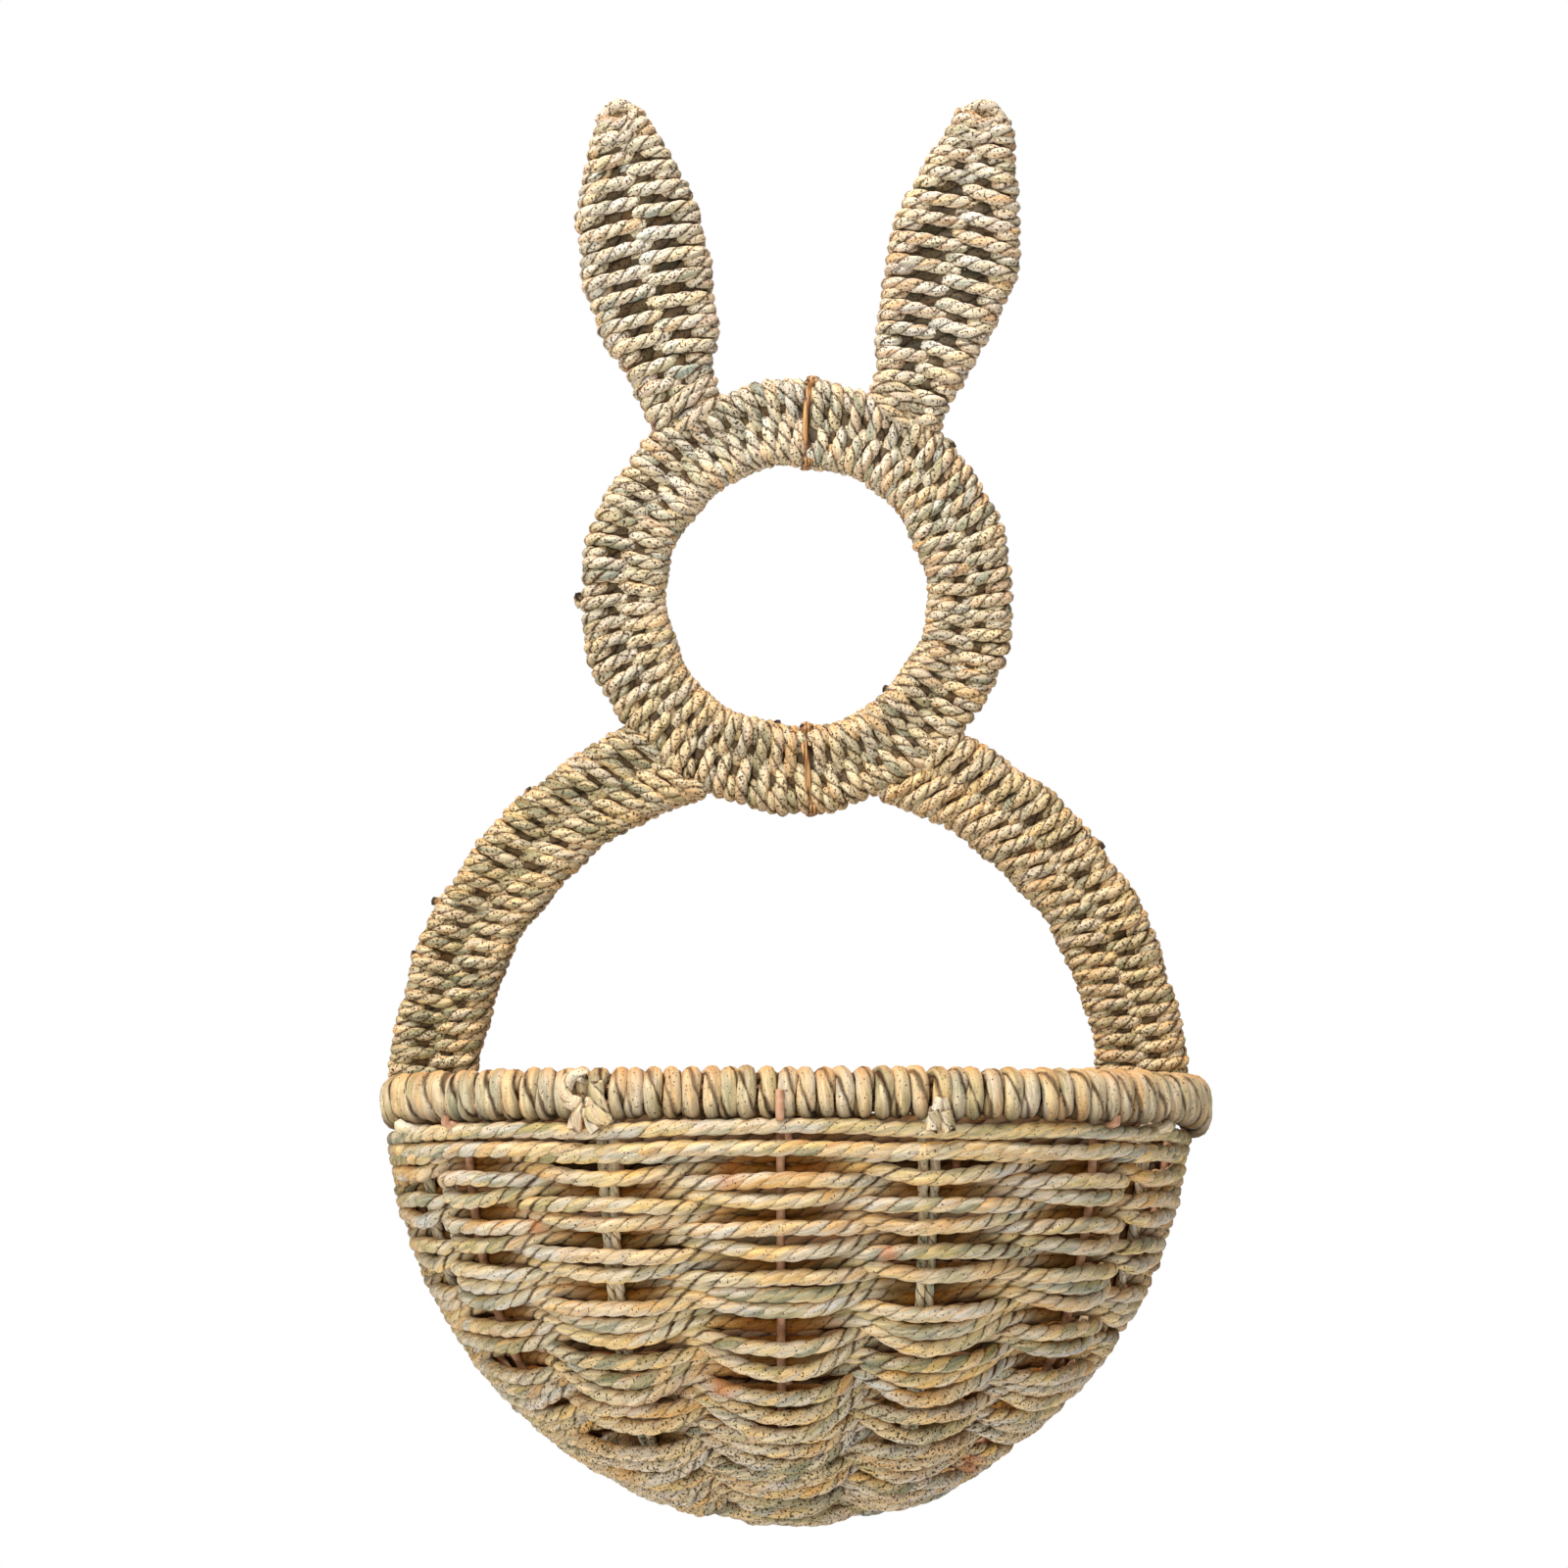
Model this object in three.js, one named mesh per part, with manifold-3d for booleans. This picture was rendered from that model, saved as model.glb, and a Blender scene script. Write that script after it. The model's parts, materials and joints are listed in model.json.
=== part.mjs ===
// Wall basket in the outline of a rabbit: a round open head with two long ears, above a round
// half-bowl pocket woven from seagrass rope over wire. Millimetres, +Z up, the front faces -Y
// and the wall is the plane y = 0. The origin is the hang point, the inner top of the head ring
// at the wall. Every wrapped band is a pair of wires with rope wound round both.

import * as THREE from 'three';
import Module from 'manifold-3d';
import { mergeVertices } from 'three/addons/utils/BufferGeometryUtils.js';

const wasm = await Module();
wasm.setup();

// Stock: steel wire, rope for the wraps, rope for the weave, and the play between them
const wireDiameter = 3;
const wrapRope = 5.3;
const weaveRope = 5.2;
const weaveThickness = 4.8;
const stakeWidth = 6.4;
const wireFit = 0.3;
const weaveFit = 0.4;
const rowGap = 0.5;

// Head: the ring that the basket hangs by
const headOuterRadius = 78;
const headBandWidth = 32.5;
const tieWidth = 4.2;
const tieDistance = 4.2;

// Body: the hoop, its arch between the head and the pocket, and the hoop's deeper lower half
const bodyOuterRadius = 142.8;
const archBandWidth = 33.8;
const neckOverlap = 43.8;
const bodyShift = -3;
const hoopExtraDrop = 7;

// Pocket: its depth in front of the hoop, and the powers that square its plan and its profile
const pocketDepth = 105;
const planPower = 2.25;
const profilePower = 2.2;
const sideLift = 4;

// Rim of the pocket, level with the body's middle and higher in front than at its ends
const rimHeight = 19;
const rimSideOffset = 5.2;
const rimFrontOffset = 2;
const rimEndLevel = -4.2;
const rimRise = 9.7;
const rimEndSetback = 0.5;

// Ears: both alike in width, each with its own seat on the ring, lean and length
const leftEarLength = 115.7;
const rightEarLength = 116;
const earWidth = 48;
const earRoot = 14;
const earEdge = 4.5;
const earOutlineShares = [
  [0, 0.62], [0.13, 0.71], [0.25, 0.89], [0.45, 1], [0.64, 0.89], [0.77, 0.715], [0.9, 0.475],
  [0.97, 0.3], [1, 0.12],
];
const earTurnShare = 0.9;
const ears = [
  { side: 'left', seatDegrees: -33.3, leanDegrees: -10.9, length: leftEarLength },
  { side: 'right', seatDegrees: 32.1, leanDegrees: 13.7, length: rightEarLength },
];

// Stakes of the pocket, as shares of the hoop's half width: at the rim and where they reach
// the hoop. The three wires and the four pairs of rope strands take turns.
const frontStakes = [
  { name: 'front_stake_1', kind: 'rope', rimShare: -0.93, hoopShare: -0.76 },
  { name: 'front_stake_2', kind: 'wire', rimShare: -0.81, hoopShare: -0.47 },
  { name: 'front_stake_3', kind: 'rope', rimShare: -0.45, hoopShare: -0.24 },
  { name: 'front_stake_4', kind: 'wire', rimShare: -0.02, hoopShare: -0.01 },
  { name: 'front_stake_5', kind: 'rope', rimShare: 0.35, hoopShare: 0.23 },
  { name: 'front_stake_6', kind: 'wire', rimShare: 0.77, hoopShare: 0.46 },
  { name: 'front_stake_7', kind: 'rope', rimShare: 0.91, hoopShare: 0.74 },
];
const backStakeShares = [-0.44, 0, 0.44];

// Weave: how many ropes lie side by side in each row of the front, from the rim down
const ropesInRow = [2, 2, 2, 2, 2, 2, 3, 3, 2, 3, 3, 2, 3, 3, 3, 3, 2, 3, 2, 3, 2];
const tightPairHeight = 8.2;
const tightTripleHeight = 9.8;
const backRowCount = 9;
const rowEndReach = 3;
const outsideDepth = 23;
const holdShare = 0.32;

// Facets
const wireSides = 6;
const arcStepDegrees = 7.5;
const hoopSteps = 48;
const rimSteps = 26;
const stakeSteps = 16;
const earFrameSteps = 26;
const halvings = 40;
const waistShare = 0.78;
const mouldShare = Math.SQRT1_2;

// Worked out from the sizes above
const degree = Math.PI / 180;
const wireRadius = wireDiameter / 2;
const lobe = wireRadius + wrapRope;
const hoopY = -lobe;
const channelRadius = (wireRadius + wireFit) / Math.cos(Math.PI / wireSides);
const headInnerRadius = headOuterRadius - headBandWidth;
const headCentre = new THREE.Vector3(0, hoopY, -headInnerRadius);
const bodyDrop = bodyOuterRadius + headOuterRadius - neckOverlap;
const bodyCentre = new THREE.Vector3(bodyShift, hoopY, headCentre.z - bodyDrop);
const hoopRadius = bodyOuterRadius - lobe;
const hoopDrop = hoopRadius + hoopExtraDrop;
const archInnerRadius = bodyOuterRadius - archBandWidth;
const archWireRadius = archInnerRadius + lobe;
const headOuterWireRadius = headOuterRadius - lobe;
const headInnerWireRadius = headInnerRadius + lobe;
const neckReach = headOuterWireRadius + wireDiameter + wireFit;
const rimHalfHeight = rimHeight / 2;
const rimHalfWidth = hoopRadius + rimSideOffset;
const rimDepth = pocketDepth + rimFrontOffset;
const archFootLevel = rimEndLevel + rimHalfHeight + wireFit;
const archFootAngle = Math.PI / 2 - Math.asin(archFootLevel / archInnerRadius);
const railLevel = rimEndLevel + rimHalfHeight - lobe;
const weaveOffset = wireRadius + weaveFit + weaveThickness / 2;
const toFront = new THREE.Vector3(0, -1, 0);
const toTop = new THREE.Vector3(0, 0, 1);

const finishes = {
  wire: { color: 0x7d5a3c, roughness: 0.55, metalness: 0.6 },
  wrap: { color: 0xcdb487, roughness: 0.9, metalness: 0 },
  weave: { color: 0xd2bd92, roughness: 0.9, metalness: 0 },
  tie: { color: 0x9c6b3a, roughness: 0.8, metalness: 0 },
  stake: { color: 0xa9a489, roughness: 0.9, metalness: 0 },
};

const basket = new THREE.Group();

function addPiece(name, geometry, finish) {
  const mesh = new THREE.Mesh(geometry, new THREE.MeshStandardMaterial(finishes[finish]));
  mesh.name = name;
  basket.add(mesh);
}

// Solids for joining and cutting

function toSolid(geometry) {
  const bare = geometry.clone();
  bare.deleteAttribute('normal');
  bare.deleteAttribute('uv');
  const merged = mergeVertices(bare);
  const vertProperties = new Float32Array(merged.attributes.position.array);
  const triVerts = new Uint32Array(merged.index.array);
  return new wasm.Manifold(new wasm.Mesh({ numProp: 3, vertProperties, triVerts }));
}

function toGeometry(solid) {
  const { vertProperties, triVerts, numProp } = solid.getMesh();
  const geometry = new THREE.BufferGeometry();
  geometry.setAttribute('position', new THREE.BufferAttribute(new Float32Array(vertProperties), numProp));
  geometry.setIndex(new THREE.BufferAttribute(new Uint32Array(triVerts), 1));
  geometry.computeVertexNormals();
  return geometry;
}

function cut(geometry, cutters) {
  const start = toSolid(geometry);
  return toGeometry(cutters.reduce((solid, cutter) => solid.subtract(toSolid(cutter)), start));
}

// A path that carries its own frame at each station: across is the section's x and up its y

class StationPath extends THREE.Curve {
  constructor(stations) {
    super();
    this.stations = stations;
  }

  getPoint(t, target = new THREE.Vector3()) {
    const place = t * (this.stations.length - 1);
    const first = Math.min(Math.floor(place), this.stations.length - 2);
    return target.lerpVectors(this.stations[first].point, this.stations[first + 1].point, place - first);
  }

  getSpacedPoints() {
    return this.stations.map((station) => station.point);
  }

  computeFrenetFrames() {
    return {
      tangents: this.stations.map((station) => station.along),
      normals: this.stations.map((station) => station.across),
      binormals: this.stations.map((station) => station.up),
    };
  }
}

function extrudeAlong(section, stations) {
  const travel = stations[1].point.clone().sub(stations[0].point);
  const facing = stations[0].across.clone().cross(stations[0].up);
  const ordered = travel.dot(facing) > 0 ? stations : stations.slice().reverse();
  const path = new StationPath(ordered);
  return new THREE.ExtrudeGeometry(section, { steps: ordered.length - 1, extrudePath: path });
}

// Sections

function addRing(target, centreX, centreY, radius, sides) {
  for (let i = 0; i < sides; i += 1) {
    const angle = (2 * Math.PI * i) / sides;
    const x = centreX + radius * Math.cos(angle);
    const y = centreY + radius * Math.sin(angle);
    if (i === 0) target.moveTo(x, y);
    else target.lineTo(x, y);
  }
  target.closePath();
  return target;
}

function wireSection(radius) {
  return addRing(new THREE.Shape(), 0, 0, radius, wireSides);
}

// Rope wound round two wires: a lobe over each wire, a waist between them, and a channel for
// each wire. The back is flat where it lies against the wall.
function pairSection(halfSpacing, flatBack) {
  const chamfer = lobe * mouldShare;
  const far = halfSpacing + lobe;
  const bend = halfSpacing + chamfer;
  const outline = [
    [0, far], [chamfer, bend], [lobe, halfSpacing], [lobe * waistShare, 0], [lobe, -halfSpacing],
    [chamfer, -bend], [0, -far], [-chamfer, -bend], [-lobe, -halfSpacing],
  ];
  if (!flatBack) outline.push([-lobe * waistShare, 0]);
  outline.push([-lobe, halfSpacing], [-chamfer, bend]);
  const section = new THREE.Shape(outline.map(([x, y]) => new THREE.Vector2(x, y)));
  for (const height of [-halfSpacing, halfSpacing]) {
    section.holes.push(addRing(new THREE.Path(), 0, height, channelRadius, wireSides));
  }
  return section;
}

// Rope wound round one wire, flat at the back
function railSection() {
  const chamfer = lobe * mouldShare;
  const outline = [
    [0, lobe], [chamfer, chamfer], [lobe, 0], [chamfer, -chamfer], [0, -lobe], [-lobe, -lobe], [-lobe, lobe],
  ];
  const section = new THREE.Shape(outline.map(([x, y]) => new THREE.Vector2(x, y)));
  section.holes.push(addRing(new THREE.Path(), 0, 0, channelRadius, wireSides));
  return section;
}

function boxSection(thickness, width) {
  const x = thickness / 2;
  const y = width / 2;
  return new THREE.Shape([[x, -y], [x, y], [-x, y], [-x, -y]].map(([a, b]) => new THREE.Vector2(a, b)));
}

// A woven row: its thickness in millimetres, its height as shares of the frame's up vector
function rowSection() {
  const x = weaveThickness / 2;
  const edgeShare = 0.5;
  const flatShare = 0.3;
  const outline = [
    [x, -flatShare], [x, flatShare], [0, edgeShare], [-x, flatShare], [-x, -flatShare], [0, -edgeShare],
  ];
  return new THREE.Shape(outline.map(([a, b]) => new THREE.Vector2(a, b)));
}

// Arcs in the hoops' plane, with angles from the top, positive towards the right

function ringStation(centre, radius, angle) {
  const up = new THREE.Vector3(Math.sin(angle), 0, Math.cos(angle));
  return { point: centre.clone().addScaledVector(up, radius), across: toFront, up };
}

function arcStations(centre, radius, fromAngle, toAngle) {
  const count = Math.max(1, Math.round(Math.abs(toAngle - fromAngle) / (arcStepDegrees * degree)));
  const stations = [];
  for (let i = 0; i <= count; i += 1) {
    stations.push(ringStation(centre, radius, THREE.MathUtils.lerp(fromAngle, toAngle, i / count)));
  }
  return stations;
}

// Angle on a circle round the body where it comes within a distance of the head's centre
function neckAngle(radius, headDistance, side) {
  const dx = headCentre.x - bodyCentre.x;
  const dz = headCentre.z - bodyCentre.z;
  const between = Math.hypot(dx, dz);
  const cosine = (radius ** 2 + between ** 2 - headDistance ** 2) / (2 * radius * between);
  return Math.atan2(dx, dz) + side * Math.acos(cosine);
}

// Body hoop: a circle above the body's middle, drawn down to an ellipse below it

function hoopStations(headDistance) {
  const start = neckAngle(hoopRadius, headDistance, 1);
  const end = neckAngle(hoopRadius, headDistance, -1) + 2 * Math.PI;
  const stations = [];
  for (let i = 0; i <= hoopSteps; i += 1) {
    const angle = THREE.MathUtils.lerp(start, end, i / hoopSteps);
    const height = Math.cos(angle) > 0 ? hoopRadius : hoopDrop;
    const x = Math.sin(angle) * hoopRadius;
    const z = Math.cos(angle) * height;
    const up = new THREE.Vector3(x / hoopRadius ** 2, 0, z / height ** 2).normalize();
    const point = bodyCentre.clone().add(new THREE.Vector3(x, 0, z));
    stations.push({ point, across: toFront, up });
  }
  return stations;
}

const hoopChannel = extrudeAlong(wireSection(channelRadius), hoopStations(headOuterWireRadius));
addPiece('body_hoop', extrudeAlong(wireSection(wireRadius), hoopStations(neckReach)), 'wire');

// Ears

function earFrame(ear) {
  const seat = ear.seatDegrees * degree;
  const lean = ear.leanDegrees * degree;
  const base = ringStation(headCentre, headOuterRadius, seat).point;
  const axis = new THREE.Vector3(Math.sin(lean), 0, Math.cos(lean));
  const across = new THREE.Vector3(Math.cos(lean), 0, -Math.sin(lean));
  return { base, axis, across, lean };
}

function earPoint(frame, across, along) {
  return frame.base.clone().addScaledVector(frame.across, across).addScaledVector(frame.axis, along);
}

// How far along the ear's axis a line beside it starts, at a distance from the head's centre
function rootAlong(frame, across, headDistance) {
  const start = earPoint(frame, across, 0).sub(headCentre);
  const along = start.dot(frame.axis);
  return -along + Math.sqrt(along ** 2 - start.lengthSq() + headDistance ** 2);
}

function earWirePath(ear, headDistance) {
  const frame = earFrame(ear);
  const halfAt = (share) => (share * earWidth) / 2 - lobe;
  const sides = earOutlineShares.filter(([along]) => along > 0 && along < earTurnShare);
  const rootHalf = halfAt(earOutlineShares[0][1]);
  const points = [];
  for (const side of [-1, 1]) {
    const leg = [earPoint(frame, side * rootHalf, rootAlong(frame, side * rootHalf, headDistance))];
    for (const [along, half] of sides) {
      leg.push(earPoint(frame, side * halfAt(half), along * ear.length));
    }
    points.push(side < 0 ? leg : leg.reverse());
  }
  const tip = earPoint(frame, 0, ear.length - lobe - wireDiameter);
  return new THREE.CatmullRomCurve3([...points[0], tip, ...points[1]]);
}

function earWire(ear, radius, headDistance) {
  const extrudePath = earWirePath(ear, headDistance);
  return new THREE.ExtrudeGeometry(wireSection(radius), { steps: earFrameSteps, extrudePath });
}

function earPanel(ear) {
  const outline = [new THREE.Vector2((earWidth / 2) * earOutlineShares[0][1], -earRoot)];
  for (const [along, half] of earOutlineShares) {
    outline.push(new THREE.Vector2((half * earWidth) / 2, along * ear.length));
  }
  for (const point of outline.slice().reverse()) {
    outline.push(new THREE.Vector2(-point.x, point.y));
  }
  const geometry = new THREE.ExtrudeGeometry(new THREE.Shape(outline), {
    depth: 2 * lobe - 2 * earEdge,
    bevelThickness: earEdge,
    bevelSize: earEdge,
    bevelOffset: -earEdge,
    bevelSegments: 2,
  });
  const frame = earFrame(ear);
  geometry.translate(0, 0, earEdge);
  geometry.rotateX(Math.PI / 2);
  geometry.rotateY(frame.lean);
  geometry.translate(frame.base.x, 0, frame.base.z);
  return geometry;
}

// Everything inside the head ring's outer edge, as a disc that trims what meets the ring
function headDisc() {
  const radius = headOuterRadius + wireFit;
  const disc = new THREE.CylinderGeometry(radius, radius, 4 * lobe, hoopSteps);
  disc.translate(headCentre.x, headCentre.y, headCentre.z);
  return disc;
}

const earChannels = ears.map((ear) => earWire(ear, channelRadius, headOuterWireRadius));
ears.forEach((ear, i) => {
  addPiece(`ear_frame_${ear.side}`, earWire(ear, wireRadius, neckReach), 'wire');
  addPiece(`ear_wrap_${ear.side}`, cut(earPanel(ear), [headDisc(), earChannels[i]]), 'wrap');
});

// Arch: the band between the head and the rim, on the body hoop and one inner wire each side

const archHalfSpacing = (hoopRadius - archWireRadius) / 2;
const archMiddleRadius = (hoopRadius + archWireRadius) / 2;
const archChannels = [];
for (const [name, side] of [['left', -1], ['right', 1]]) {
  const foot = side * (archFootAngle - wireFit / archWireRadius);
  const top = neckAngle(archWireRadius, neckReach, side);
  const channelTop = neckAngle(archWireRadius, headOuterWireRadius, side);
  const wireStations = arcStations(bodyCentre, archWireRadius, top, foot);
  const channelStations = arcStations(bodyCentre, archWireRadius, channelTop, foot);
  archChannels.push(extrudeAlong(wireSection(channelRadius), channelStations));
  addPiece(`arch_wire_${name}`, extrudeAlong(wireSection(wireRadius), wireStations), 'wire');
  const start = neckAngle(archInnerRadius, headOuterRadius - lobe, side);
  const stations = arcStations(bodyCentre, archMiddleRadius, start, side * archFootAngle);
  const band = extrudeAlong(pairSection(archHalfSpacing, true), stations);
  addPiece(`arch_wrap_${name}`, cut(band, [headDisc()]), 'wrap');
}

// Head ring: two whole hoops, the wrap in two halves, and a flat strand where the halves meet

function headHoop(radius) {
  const steps = Math.round(360 / arcStepDegrees);
  const hoop = new THREE.TorusGeometry(radius, wireRadius, wireSides, steps);
  hoop.rotateX(Math.PI / 2);
  hoop.translate(headCentre.x, headCentre.y, headCentre.z);
  return hoop;
}

addPiece('head_outer_hoop', headHoop(headOuterWireRadius), 'wire');
addPiece('head_inner_hoop', headHoop(headInnerWireRadius), 'wire');

const headHalfSpacing = (headOuterWireRadius - headInnerWireRadius) / 2;
const headMiddleRadius = (headOuterWireRadius + headInnerWireRadius) / 2;
const headSection = pairSection(headHalfSpacing, true);
const tieAngle = tieDistance / headMiddleRadius;
const tieHalfAngle = tieWidth / 2 / headMiddleRadius;
const wrapSetback = tieHalfAngle + wireFit / headInnerRadius;
const bottomTieAngle = Math.PI - tieAngle;

for (const [name, angle] of [['top', tieAngle], ['bottom', bottomTieAngle]]) {
  const stations = arcStations(headCentre, headMiddleRadius, angle - tieHalfAngle, angle + tieHalfAngle);
  addPiece(`head_tie_${name}`, extrudeAlong(headSection, stations), 'tie');
}

const headHalves = [
  ['right', tieAngle + wrapSetback, bottomTieAngle - wrapSetback, earChannels[1], archChannels[1]],
  ['left', bottomTieAngle + wrapSetback, tieAngle + 2 * Math.PI - wrapSetback, earChannels[0], archChannels[0]],
];
for (const [name, from, to, earChannel, archChannel] of headHalves) {
  const half = extrudeAlong(headSection, arcStations(headCentre, headMiddleRadius, from, to));
  addPiece(`head_wrap_${name}`, cut(half, [earChannel, archChannel, hoopChannel]), 'wrap');
}

// Pocket surface: the middle of the weave. u runs from the left hoop (0) over the front to the
// right hoop (1), and level is the height above the body's middle.

function planShares(u) {
  const side = Math.cos(Math.PI * u);
  const front = Math.sin(Math.PI * u);
  return {
    across: -Math.sign(side) * Math.abs(side) ** (2 / planPower),
    front: Math.max(0, front) ** (2 / planPower),
  };
}

function widthAt(level) {
  return hoopRadius * Math.sqrt(Math.max(0, 1 - (level / hoopDrop) ** 2));
}

function depthAt(level) {
  const dropShare = Math.min(1, Math.abs(level) / hoopDrop);
  return pocketDepth * (1 - dropShare ** profilePower) ** (1 / profilePower);
}

function pocketPoint(u, level) {
  const plan = planShares(u);
  const offset = new THREE.Vector3(widthAt(level) * plan.across, -depthAt(level) * plan.front, level);
  return offset.add(bodyCentre);
}

function solve(test, low, high) {
  let a = low;
  let b = high;
  for (let i = 0; i < halvings; i += 1) {
    const middle = (a + b) / 2;
    if (test(middle) < 0) a = middle;
    else b = middle;
  }
  return (a + b) / 2;
}

// Front of the pocket seen from the side, from under the rim down to the hoop
class FrontProfile extends THREE.Curve {
  getPoint(t, target = new THREE.Vector3()) {
    const topLevel = rimEndLevel + rimRise - rimHalfHeight - rowGap;
    const restShare = (wireRadius + weaveFit + rowGap) / pocketDepth;
    const lastShare = (1 - restShare ** profilePower) ** (1 / profilePower);
    const angle = THREE.MathUtils.lerp(Math.asin(-topLevel / hoopDrop), Math.asin(lastShare), t);
    const level = -hoopDrop * Math.sin(angle);
    return target.set(0, -depthAt(level), level);
  }
}

const frontProfile = new FrontProfile();

// The rows start parallel to the rim, which is low at its ends, and further down their ends
// lift a little towards the hoop. v runs from the rim (0) to the bottom (1).
function rowLevel(u, v) {
  const lift = -rimRise * (1 - v) ** 2 + 4 * sideLift * v * (1 - v);
  return frontProfile.getPointAt(v).z + lift * (1 - planShares(u).front);
}

function weavePoint(u, v) {
  return pocketPoint(u, rowLevel(u, v));
}

// Surface frame at (u, v): outward normal, direction along the row, and how far one whole v
// step reaches across the row
function weaveFrame(u, v) {
  const nudgeShare = 0.004;
  const inside = THREE.MathUtils.clamp(u, nudgeShare, 1 - nudgeShare);
  const high = THREE.MathUtils.clamp(v - nudgeShare, 0, 1);
  const low = THREE.MathUtils.clamp(v + nudgeShare, 0, 1);
  const along = weavePoint(inside + nudgeShare, v).sub(weavePoint(inside - nudgeShare, v)).normalize();
  const down = weavePoint(inside, low).sub(weavePoint(inside, high)).divideScalar(low - high);
  const outward = down.clone().cross(along).normalize();
  const point = weavePoint(u, v);
  if (outward.dot(point.clone().sub(bodyCentre)) < 0) outward.negate();
  const up = outward.clone().cross(along).normalize();
  if (up.dot(down) > 0) up.negate();
  return { point, along, outward, up, reach: Math.abs(down.dot(up)) };
}

// Front stakes: each lies in an upright plane, from its place at the rim to its place on the hoop

function stakeLine(stake) {
  const rimX = stake.rimShare * hoopRadius;
  const hoopX = stake.hoopShare * hoopRadius;
  const rimY = pocketDepth * (1 - Math.abs(stake.rimShare) ** planPower) ** (1 / planPower);
  return { rimX, hoopX, rimY };
}

function stakeStation(line, angle) {
  const x = line.hoopX + (line.rimX - line.hoopX) * Math.cos(angle);
  const y = line.rimY * Math.cos(angle);
  const overflow = (share) => {
    const level = -hoopDrop * share;
    const across = Math.abs(x / widthAt(level)) ** planPower;
    return across + (y / depthAt(level)) ** planPower - 1;
  };
  const lowestShare = 0.999999;
  const level = -hoopDrop * solve(overflow, 0, lowestShare);
  const sideShare = (-x / widthAt(level)) * Math.abs(x / widthAt(level)) ** (planPower / 2 - 1);
  const frontShare = (y / depthAt(level)) ** (planPower / 2);
  return { u: Math.atan2(frontShare, sideShare) / Math.PI, level };
}

function surfaceNormal(u, level) {
  const nudgeShare = 0.002;
  const nudge = nudgeShare * hoopDrop;
  const along = pocketPoint(u + nudgeShare, level).sub(pocketPoint(u - nudgeShare, level));
  const down = pocketPoint(u, level - nudge).sub(pocketPoint(u, level + nudge));
  const outward = down.cross(along).normalize();
  if (outward.dot(pocketPoint(u, level).sub(bodyCentre)) < 0) outward.negate();
  return outward;
}

function stakeStations(stake) {
  const line = stakeLine(stake);
  const underRim = (angle) => {
    const { u, level } = stakeStation(line, angle);
    const underside = rimEndLevel + rimRise * planShares(u).front - rimHalfHeight - wireFit;
    return underside - level;
  };
  const start = solve(underRim, 0, Math.PI / 4);
  const halfWidth = stake.kind === 'wire' ? wireRadius : stakeWidth / 2;
  const end = Math.acos((wireRadius + weaveFit + halfWidth) / line.rimY);
  const points = [];
  for (let i = 0; i <= stakeSteps; i += 1) {
    const { u, level } = stakeStation(line, THREE.MathUtils.lerp(start, end, i / stakeSteps));
    points.push({ point: pocketPoint(u, level), across: surfaceNormal(u, level) });
  }
  return points.map(({ point, across }, i) => {
    const before = points[Math.max(0, i - 1)].point;
    const after = points[Math.min(stakeSteps, i + 1)].point;
    const along = after.clone().sub(before).normalize();
    const up = across.clone().cross(along).normalize();
    return { point, across: along.clone().cross(up).normalize(), up };
  });
}

for (const stake of frontStakes) {
  const isWire = stake.kind === 'wire';
  const section = isWire ? wireSection(wireRadius) : boxSection(wireDiameter, stakeWidth);
  addPiece(stake.name, extrudeAlong(section, stakeStations(stake)), isWire ? 'wire' : 'stake');
}

// Front rows: each goes over one stake and under the next, and out round the hoop at both ends

function crossingAt(stake, v) {
  const line = stakeLine(stake);
  const endWidth = widthAt(rowLevel(0, v));
  if (Math.abs(line.hoopX) > endWidth) return null;
  return solve((u) => {
    const place = weavePoint(u, v).sub(bodyCentre);
    return place.x - line.hoopX - ((line.rimX - line.hoopX) * -place.y) / line.rimY;
  }, 0, 1);
}

function rowKnots(row, v, stepV) {
  const knots = [{ u: 0, out: 1 }];
  frontStakes.forEach((stake, i) => {
    const u = crossingAt(stake, v) ?? crossingAt(stake, v - stepV / 2);
    if (u === null) return;
    const nearHoop = -weavePoint(u, v).sub(bodyCentre).y < outsideDepth;
    const turn = (row + i) % 2 === 0 ? -1 : 1;
    knots.push({ u, out: nearHoop ? 1 : turn });
  });
  knots.push({ u: 1, out: 1 });
  return knots;
}

function rowStations(row, v, stepV, ropes) {
  const places = [];
  const knots = rowKnots(row, v, stepV);
  for (let i = 0; i < knots.length - 1; i += 1) {
    const [a, b] = [knots[i], knots[i + 1]];
    places.push(a);
    places.push({ u: THREE.MathUtils.lerp(a.u, b.u, holdShare), out: a.out });
    places.push({ u: (a.u + b.u) / 2, out: (a.out + b.out) / 2 });
    places.push({ u: THREE.MathUtils.lerp(a.u, b.u, 1 - holdShare), out: b.out });
  }
  places.push(knots[knots.length - 1]);
  const stations = places.map(({ u, out }) => {
    const frame = weaveFrame(u, v);
    const height = Math.min(frame.reach * stepV - rowGap, ropes * weaveRope);
    return {
      point: frame.point.addScaledVector(frame.outward, out * weaveOffset),
      across: frame.outward,
      up: frame.up.multiplyScalar(height),
    };
  });
  const behind = toFront.clone().multiplyScalar(-rowEndReach);
  const ends = [stations[0], stations[stations.length - 1]].map((station) => ({
    ...station, point: station.point.clone().add(behind),
  }));
  return [ends[0], ...stations, ends[1]];
}

function twoDigits(number) {
  return String(number).padStart(2, '0');
}

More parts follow.
